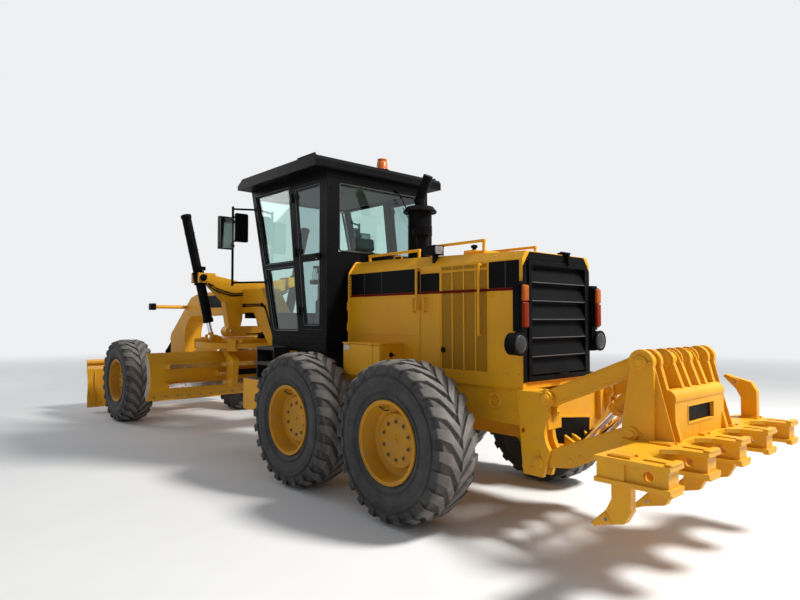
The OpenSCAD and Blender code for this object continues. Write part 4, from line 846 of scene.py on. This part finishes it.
p = Piece("seat_frame", REAR, "dark_plastic")
p.box(1160, 1440, -190, 190, 1532, 1560, 8)
p.rings([[(1300 + u, v, z) for u, v in rounded(-a, a, -b, b, 40)] for z, a, b in
         [(1558 + i * 20, 125 - 14 * (i % 2), 165 - 14 * (i % 2)) for i in range(12)]], rubber)
p.box(1110, 1530, -235, 235, 1776, 1822, 10)
p.box(1098, 1118, -205, 205, 1900, 2440, 8)
for y in (-300, 300):
    p.sweep(bend([(1130, y * 0.82, 1800), (1120, y, 1830), (1130, y, 2080), (1200, y, 2090)], 40), 13)
for y in (-70, 70):
    p.rod((1090, y, 2460), (1083, y, 2530), 7, chrome)
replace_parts(p.done(), "seat")

# ---- mirrors ----
p = Piece("mirror_glass", REAR, "bright_rod")
p.prism(rounded(1022, 1178, 2562, 2938, 14), "x", 2392, 2402, 2, mirror)
p.mirrored().done()
p = Piece("mirror_rims", REAR, "black_paint")
seal(p, [(2400, y, z) for y, z in ((1014, 2554), (1186, 2554), (1186, 2946), (1014, 2946))],
     7, plastic, 16)
p.prism(rounded(796, 972, 2655, 3015, 22), "x", 2398, 2442, 8)
for z in (2600, 2900):
    p.rod((2420, 960, z + 60), (2420, 1014, z + 60), 11)
    p.turned((2420, 1000, z - 18), UP, [(0, 20), (6, 24), (30, 24), (36, 20)], 18)
p.mirrored().done()

# ---- front frame ----
p = Piece("front_frame_trim", FRONT)
p.bolts(range(3250, 5200, 160), (110, -110), 2130, UP, 11)
for x0, x1 in ((3240, 3600), (4250, 5150)):
    p.prism(rounded(x0, x1, -85, 85, 20), "z", 2129, 2137)
for s in (1, -1):
    y = s * BEAM_Y
    p.bolts((2620, 2700), y, (1180, 1240), (0, s, 0), 12)
    for k, z in enumerate((1880, 1905)):
        pipe = ((2790, z - 560), (3090 + 8 * k, z - 30), (3170, z), (3760, z))
        p.sweep(bend([(x, y + s * 14, z) for x, z in pipe], 60), 8, of=black)
    for x in (3190, 3700):
        p.box(x - 12, x + 12, *sorted((y - s, y + s * 26)), 1864, 1921, 4, black)
for y in (BEAM_Y - 1, -BEAM_Y - 6):
    p.prism(rounded(3990, 5120, 1876, 2072, 10), "y", y, y + 7, 1.5, black)
p.box(3640, 3770, -120, 120, 1700, 1789.5, 6, black)
for y in range(-100, 101, 40):
    p.rod((3630, y, 1745), (3780, y, 1745), 14, black)
p.turned((2300, 0, 1150), UP, [(0, 74), (36, 74), (44, 66), (44, 40), (56, 36)], 32)
for w in ring(6):
    p.bolt((2300 + 56 * cos(w), 56 * sin(w), 1193), UP, 9)
p.done()

p = Piece("head_lamp_fronts", FRONT, "tinted_glass")
for y in (706, -774):
    p.prism(rounded(y, y + 68, 1856, 1944, 10), "x", 5884, 5896, 3, clear_lens)
p.done()
p = Piece("head_lamp_cases", FRONT, "black_paint")
for y in (694, -786):
    p.box(5776, 5884, y, y + 92, 1844, 1956, 8)
    for i in range(5):
        p.box(5770, 5780, y + 10, y + 82, 1858 + 19 * i, 1867 + 19 * i)
p.done()

p = Piece("lift_arm_trim", FRONT)
for s in (1, -1):
    for d in (-1, 1):
        pin = (CIRCLE_X + d * 142, s * ARM_PIN[0], ARM_PIN[1])
        p.turned(pin, (d, 0, 0), [(0, 50), (14, 50), (18, 44), (18, 30), (24, 24)], 28, black)
        p.bolts(CIRCLE_X + d * 144, s * 735, (2240, 2320), (d, 0, 0), 10)
    for d in (-1, 1):
        pin = (CIRCLE_X + d * 85, s * 345, 1508)
        p.turned(pin, (d, 0, 0), [(0, 52), (8, 52), (12, 44)], 28)
        p.turned(pin, (d, 0, 0), [(0, 22), (16, 22), (20, 18)], 20, chrome)
    for y, z in ((230, 2180), (330, 2195), (430, 2210), (530, 2230)):
        for d in (-1, 1):
            p.bolt((CIRCLE_X + d * 70, s * y, z), (d, 0, 0), 12)
    for pipe in (((3774, 150, 2080), (3762, 300, 2060), (3762, 560, 2130), (3742, 700, 2190)),
                 ((3774, 150, 2050), (3762, 320, 2030), (3762, 560, 2090), (3742, 700, 2160))):
        p.sweep(bend([(x, s * y, z) for x, y, z in pipe], 60), 9, of=black)
p.done()

# ---- lift cylinders ----
for side, s in SIDES:
    u, back = Vector((0, s * 200, 860)).normalized(), Vector(BACK)
    eye = Vector((CIRCLE_X, s * ARM_PIN[0], ARM_PIN[1]))
    p = Piece("lift_barrel_trim_" + side, "lift_barrel_" + side, "black_paint")
    p.turned(eye - u * 655, u, [(0, 40), (0, 68), (6, 74), (60, 74), (66, 66)], 32)
    p.turned(eye + u * 860, u, [(0, 66), (4, 73), (46, 73), (54, 66), (64, 40)], 32)
    p.turned(eye - u * 95, u,
             [(0, 66), (4, 84), (28, 84), (32, 80), (158, 80), (162, 84), (186, 84), (190, 66)], 32)
    for d in (-620, 880):
        p.turned(eye + u * d + back * 60, back, [(0, 20), (14, 20), (16, 15), (40, 15)], 16)
    # pipes from the eye to both ends of the barrel
    for shift, end in ((-26, -620), (26, 880)):
        aside = Vector((0, shift, 0))
        p.sweep(bend([eye + u * 120 + back * 76 + aside, eye + u * 72 + back * 96 + aside,
                      eye + u * (end * 0.85) + back * 96 + aside, eye + u * end + back * 92], 30), 8)
    p.box(CIRCLE_X - 118, CIRCLE_X - 62, eye.y - 48, eye.y + 48, 2385, 2440, 6)
    for d in (-392, 388, 638):
        p.turned(eye + u * d, u, [(0, 66), (2, 69), (22, 69), (24, 66)], 28)
    p.done()

    p = Piece("lift_rod_trim_" + side, "lift_rod_" + side, "bright_rod")
    foot = Vector((CIRCLE_X, s * 600, 1420))
    p.turned(foot + u * 44, u, [(0, 34), (2, 39), (34, 39), (40, 33)], 24, yellow)
    p.done()

# ---- drawbar, circle and moldboard ----
p = Piece("drawbar_trim", "drawbar")
for s in (1, -1):
    for x, y in ((3330, 430), (3330, 300), (3480, 470), (4330, 440), (4420, 400)):
        p.bolt((x, s * y, 1411), UP, 13)
for w in ring(4, 0.5):
    for k in (-35, 35):
        x, y = 732 * cos(w) - k * sin(w), 732 * sin(w) + k * cos(w)
        p.bolt((CIRCLE_X + x, y, 1395), UP, 13)
p.prism(rounded(3240, 3330, -150, 150, 16), "z", 1410, 1470, 5, black)
p.turned((3285, 0, 1465), UP, [(0, 66), (20, 66), (26, 52), (110, 52), (118, 44), (134, 30)], 28, black)
for w in ring(6):
    p.bolt((3285 + 39 * cos(w), 120 * sin(w), 1470), UP, 10, black)
for s in (1, -1):
    pipe = [(3335, s * 30, 1500), (3560, s * 60, 1470), (3900, s * 60, 1462), (4560, s * 40, 1440)]
    p.sweep(bend(pipe, 60), 9, of=black)
p.done()

p = Piece("circle_teeth", "circle")
TEETH = 96
h = tau / TEETH * 0.30
for w in ring(TEETH):
    tooth = [(CIRCLE_X + r * cos(w + e), r * sin(w + e))
             for r, e in ((641, -h), (622, -h * 0.5), (622, h * 0.5), (641, h))]
    p.prism(tooth, "z", 1282, 1343)
for s in (1, -1):
    for z in RAILS_Z:
        p.bolts(3420, s * 580, (z - 52, z + 52), (0, s, 0), 12)
    p.turned((3430, s * 578, 1200), (0, s, 0), [(0, 40), (14, 40), (18, 34), (18, 18), (26, 14)])
p.done()

arc_x, arc_z, arc_r = 3933, 922, 413
p = Piece("blade_edges", "moldboard", "bright_rod")
low = radians(46.6)
down = Vector((sin(low), -cos(low)))
normal = Vector((cos(low), sin(low)))
foot = Vector((arc_x, arc_z)) - normal * arc_r
for a, b in ((-1600, -805), (-800, -2), (2, 800), (805, 1600)):
    corners = [foot + down * u + normal * v for u, v in ((-140, 1), (14, 1), (2, 17), (-140, 17))]
    p.prism([tuple(c) for c in corners], "y", a, b, 2, steel)
for y in range(-1520, 1560, 160):
    c = foot - down * 70 + normal * 17
    p.turned((c.x, y, c.y), (normal.x, 0, normal.y), [(0, 16), (3, 15), (5, 9)], 14, steel)
    c = foot - down * 70 - normal * 22
    p.bolt((c.x, y, c.y), (-normal.x, 0, -normal.y), 14, steel)
for s in (1, -1):
    line = [(arc_x - (arc_r - 1) * cos(t), arc_z + (arc_r - 1) * sin(t))
            for t in (low * (k / 6 - 1) for k in range(13))]
    line += [(x + 0.22 * (arc_x - x), z + 0.22 * (arc_z - z)) for x, z in line[::-1]]
    a, b = sorted((s * 1584, s * 1600))
    p.prism(line, "y", a, b, 2, steel)
p.done()

p = Piece("blade_back_ribs", "moldboard")
p.bolts(3378, (-1180, -760, -300, 300, 760, 1180), RAILS_Z, BACK, 12)
for z in RAILS_Z:
    p.prism([(3374, z - 28), (3379, z - 24), (3379, z + 24), (3374, z + 28)], "y", -1396, 1396, 1, chrome)
p.sweep(bend([(3400, -420, 940), (3330, -420, 940), (3330, -520, 940)], 20), 10, of=black)
p.rod((3420, -380, 937), (3420, 430, 937), 42, black)
p.rod((3420, 428, 937), (3420, 700, 937), 22, chrome)
p.turned((3420, 410, 937), LEFT, [(0, 46), (24, 46), (28, 40)], 26, black)
for y in (-380, 700):
    p.box(3396, 3496, y - 14, y + 14, 900, 974, 5)
p.done()

# ---- front axle ----
p = Piece("axle_trim", FRONT)
x = AXLES["steer"]
for s in (1, -1):
    p.turned((x + s * 190, 0, 700), (s, 0, 0), [(0, 70), (12, 70), (16, 62), (16, 30), (24, 26)], 30)
    for w in ring(6):
        p.bolt((x + s * 204, 50 * cos(w), 700 + 50 * sin(w)), (s, 0, 0), 8)
    p.rod((x - 130, s * 220, 790), (x - 130, s * 560, 760), 28, black)
    p.rod((x - 130, s * 540, 762), (x - 130, s * 620, 756), 15, chrome)
p.done()

# ---- front blade ----
p = Piece("front_blade_trim", "dozer_blade", "bright_rod")
for a, b in ((-1298, -652), (-648, -2), (2, 648), (652, 1298)):
    p.box(7457, 7474, a, b, 84, 240, 3, steel)
for y in range(-1230, 1260, 164):
    p.turned((7473, y, 170), AHEAD, [(0, 18), (3, 17), (6, 10)], 14, steel)
    p.bolt((7436, y, 170), BACK, 14, steel)
p.done()
p = Piece("front_blade_ribs", "dozer_blade")
for y in (-1180, -860, -520, 520, 860, 1180):
    p.prism([(7437, 130), (7437, 760), (7400, 700), (7392, 300), (7410, 140)], "y", y - 9, y + 9)
p.box(7396, 7437, -1290, 1290, 880, 925, 6)
for s in (1, -1):
    p.turned((6660, s * 228, 760), (0, s, 0), [(0, 46), (12, 46), (16, 40), (16, 26), (24, 22)], 26)
p.done()
p = Piece("front_ram_trim", "dozer_barrel", "black_paint")
a, b = Vector((6680, 0, 1330)), Vector((7250, 0, 900))
u = (b - a).normalized()
p.turned(a + u * 390, u, [(0, 50), (4, 57), (44, 57), (52, 50), (60, 34)], 28)
p.turned(a + u * 70, u, [(0, 50), (3, 55), (26, 55), (30, 50)], 28)
n = Vector((0.6, 0, 0.8))
p.sweep(bend([a + u * i + n * j for i, j in ((90, 48), (90, 72), (400, 72), (400, 48))], 20), 7)
p.done()

# ---- ripper ----
p = Piece("ripper_trim", "ripper_beam")
for s in (1, -1):
    for x, z in (TOP, LOW):
        p.turned((x, s * 530, z), (0, s, 0), [(0, 46), (16, 46), (20, 40), (20, 28), (30, 24)], 28)
        p.box(x - 70, x - 18, *sorted((s * 531, s * 541)), z - 12, z + 12)
        p.bolt((x - 56, s * 541, z), (0, s, 0), 8)
for i in range(-2, 3):
    for y in (i * SHANK_PITCH - 50, i * SHANK_PITCH + 50):
        p.box(-2812, -2668, y - 7, y + 7, 869, 884, 3)
# round heads on the plates that carry the top pins
for y0 in (-533, -419, 377, 491):
    p.turned((TOP[0], y0, TOP[1]), LEFT, [(0, 84), (3, 88), (39, 88), (42, 84)], 40)
for y, d in ((-220, -1), (-60, 1), (60, -1), (220, 1)):
    p.turned((TOP[0], y - 40 * d, TOP[1]), (0, d, 0),
             [(0, 66), (2, 70), (21, 70), (24, 86), (39, 86), (42, 82), (42, 66), (50, 66),
              (54, 58), (54, 30), (62, 26)], 40)
# cross tube and window plate, whole across the middle shank
p.turned((-2715, -42, 1150), LEFT, [(0, 60.8), (84, 60.8)], 48)
for z0, z1 in ((868, 976), (1084, 1122)):
    p.box(-2771, -2739, -34, 34, z0, z1, 1)
# black sheet behind the window: painted shade for the dark space seen through it
p.box(-2748, -2739, -230, 230, 960, 1100, 2, black)
for y0, y1, z0, z1 in ((-226, 226, 1085, 1096), (-226, 226, 964, 975),
                       (-226, -215, 975, 1085), (215, 226, 975, 1085)):
    p.box(-2775, -2769, y0, y1, z0, z1)
# lips round the ends of the five pockets
for i in range(-2, 3):
    for z0, z1 in ((700, 716), (869, 885)):
        p.prism(rounded(-3064, -3018, i * SHANK_PITCH - 80, i * SHANK_PITCH + 80, 12), "z", z0, z1, 4)
p.done()

p = Piece("ripper_points", "ripper_beam")
for i in range(-2, 3):
    # the outermost shank on the right is carried upside down
    up, mid = (-1, 852.5) if i == -2 else (1, 792.5)
    y = i * SHANK_PITCH
    tip = [(-2740 + x, mid + up * z) for x, z in ((95, -262), (196, -352), (170, -368), (62, -322))]
    p.prism(tip, "y", y - 40, y + 40, 5)
    p.rod((-2644, y - 46, mid - up * 308), (-2644, y + 46, mid - up * 308), 11, steel)
p.done()

p = Piece("lower_link_plates", "ripper_lower_link")
a, b = Vector((-1765, 585)), Vector(LOW)
d = (b - a).normalized()
n = Vector((d.y, -d.x))  # upwards
length = (b - a).length
side = [(60, 54), (length - 60, 50), (length - 60, -50), (length * 0.72, -62), (length * 0.5, -104),
        (length * 0.28, -112), (60, -66)]
for s in (1, -1):
    for y in (s * 424, s * 486):
        p.prism([tuple(a + d * u + n * v) for u, v in side], "y", y - 5, y + 5, 3)
    for u in (0.3, 0.42):
        c = a + d * (length * u) - n * 62
        p.turned((c.x, s * 488, c.y), (0, s, 0), [(0, 22), (6, 22), (9, 18)], 20)
p.done()

p = Piece("rear_plate_trim", REAR)
p.prism([(350, 905), (-180, 850), (-172, 645), (352, 705)], "x", -1786, -1779, 2, black)
for bar in (((360, 918), (-192, 861)), ((362, 692), (-184, 632))):
    p.rings([[(-1792, y, z - 7), (-1780, y, z - 7), (-1780, y, z + 7), (-1792, y, z + 7)] for y, z in bar])
p.done()

foot, head = Vector((-1860, 0, 650)), Vector((TOP[0], 0, TOP[1]))
u = (head - foot).normalized()
n = Vector((-u.z, 0, u.x))
p = Piece("ripper_ram_trim", "ripper_barrels")
for y in (-140, 140):
    m = head + Vector((0, y, 0))
    p.turned(m - u * 575, u, [(0, 34), (0, 56), (5, 62), (52, 62), (60, 55)], 30)
    p.turned(m - u * 150, u, [(0, 55), (4, 61), (48, 61), (58, 50)], 30)
    pipe = [m - u * i + n * j for i, j in ((520, 54), (520, 80), (170, 80), (130, 56))]
    p.sweep(bend(pipe, 24), 7, of=black)
    for t in (520, 130):
        p.turned(m - u * t + n * 52, n, [(0, 16), (12, 16), (14, 12), (26, 12)], 14, black)
p.done()

p = Piece("link_trim", "ripper_upper_links")
for s in (1, -1):
    a, b = Vector((LINK_X, s * 455, 1070)), Vector((TOP[0], s * 455, TOP[1]))
    d = (b - a).normalized()
    n = Vector((-d.z, 0, d.x))
    for face in (Vector((0, 32, 0)), Vector((0, -32, 0))):
        for k in (50, -50):
            p.sweep([a + d * 95 + n * k + face, b - d * 95 + n * k + face], 5, 8)
p.done()

# ---- floor ----
bpy.ops.mesh.primitive_plane_add(size=120, location=(0, 0, 0))
floor = bpy.context.object
floor.name = "floor"
s = mottled("floor", (0.6, 3), (0.74, 0.75, 0.76), (0.78, 0.79, 0.80), low=0.3, Roughness=0.8)
# seen by the camera, the floor runs into the backdrop's tone beyond the machine
reach = s.new("VectorMath")
reach.operation = "LENGTH"
s.links.new(s.place, reach.inputs[0])
far = s.new("Emission", Color=BACKDROP)
ray = s.new("LightPath").outputs["Is Camera Ray"]
fade = s.new("MixShader")
s.links.new(s.math("MULTIPLY", ray, s.span(reach.outputs["Value"], 9, 26)), fade.inputs["Fac"])
s.links.new(s.bsdf.outputs[0], fade.inputs[1])
s.links.new(far.outputs[0], fade.inputs[2])
s.links.new(fade.outputs[0], s.nodes["Material Output"].inputs["Surface"])
floor.data.materials.append(s.mat)
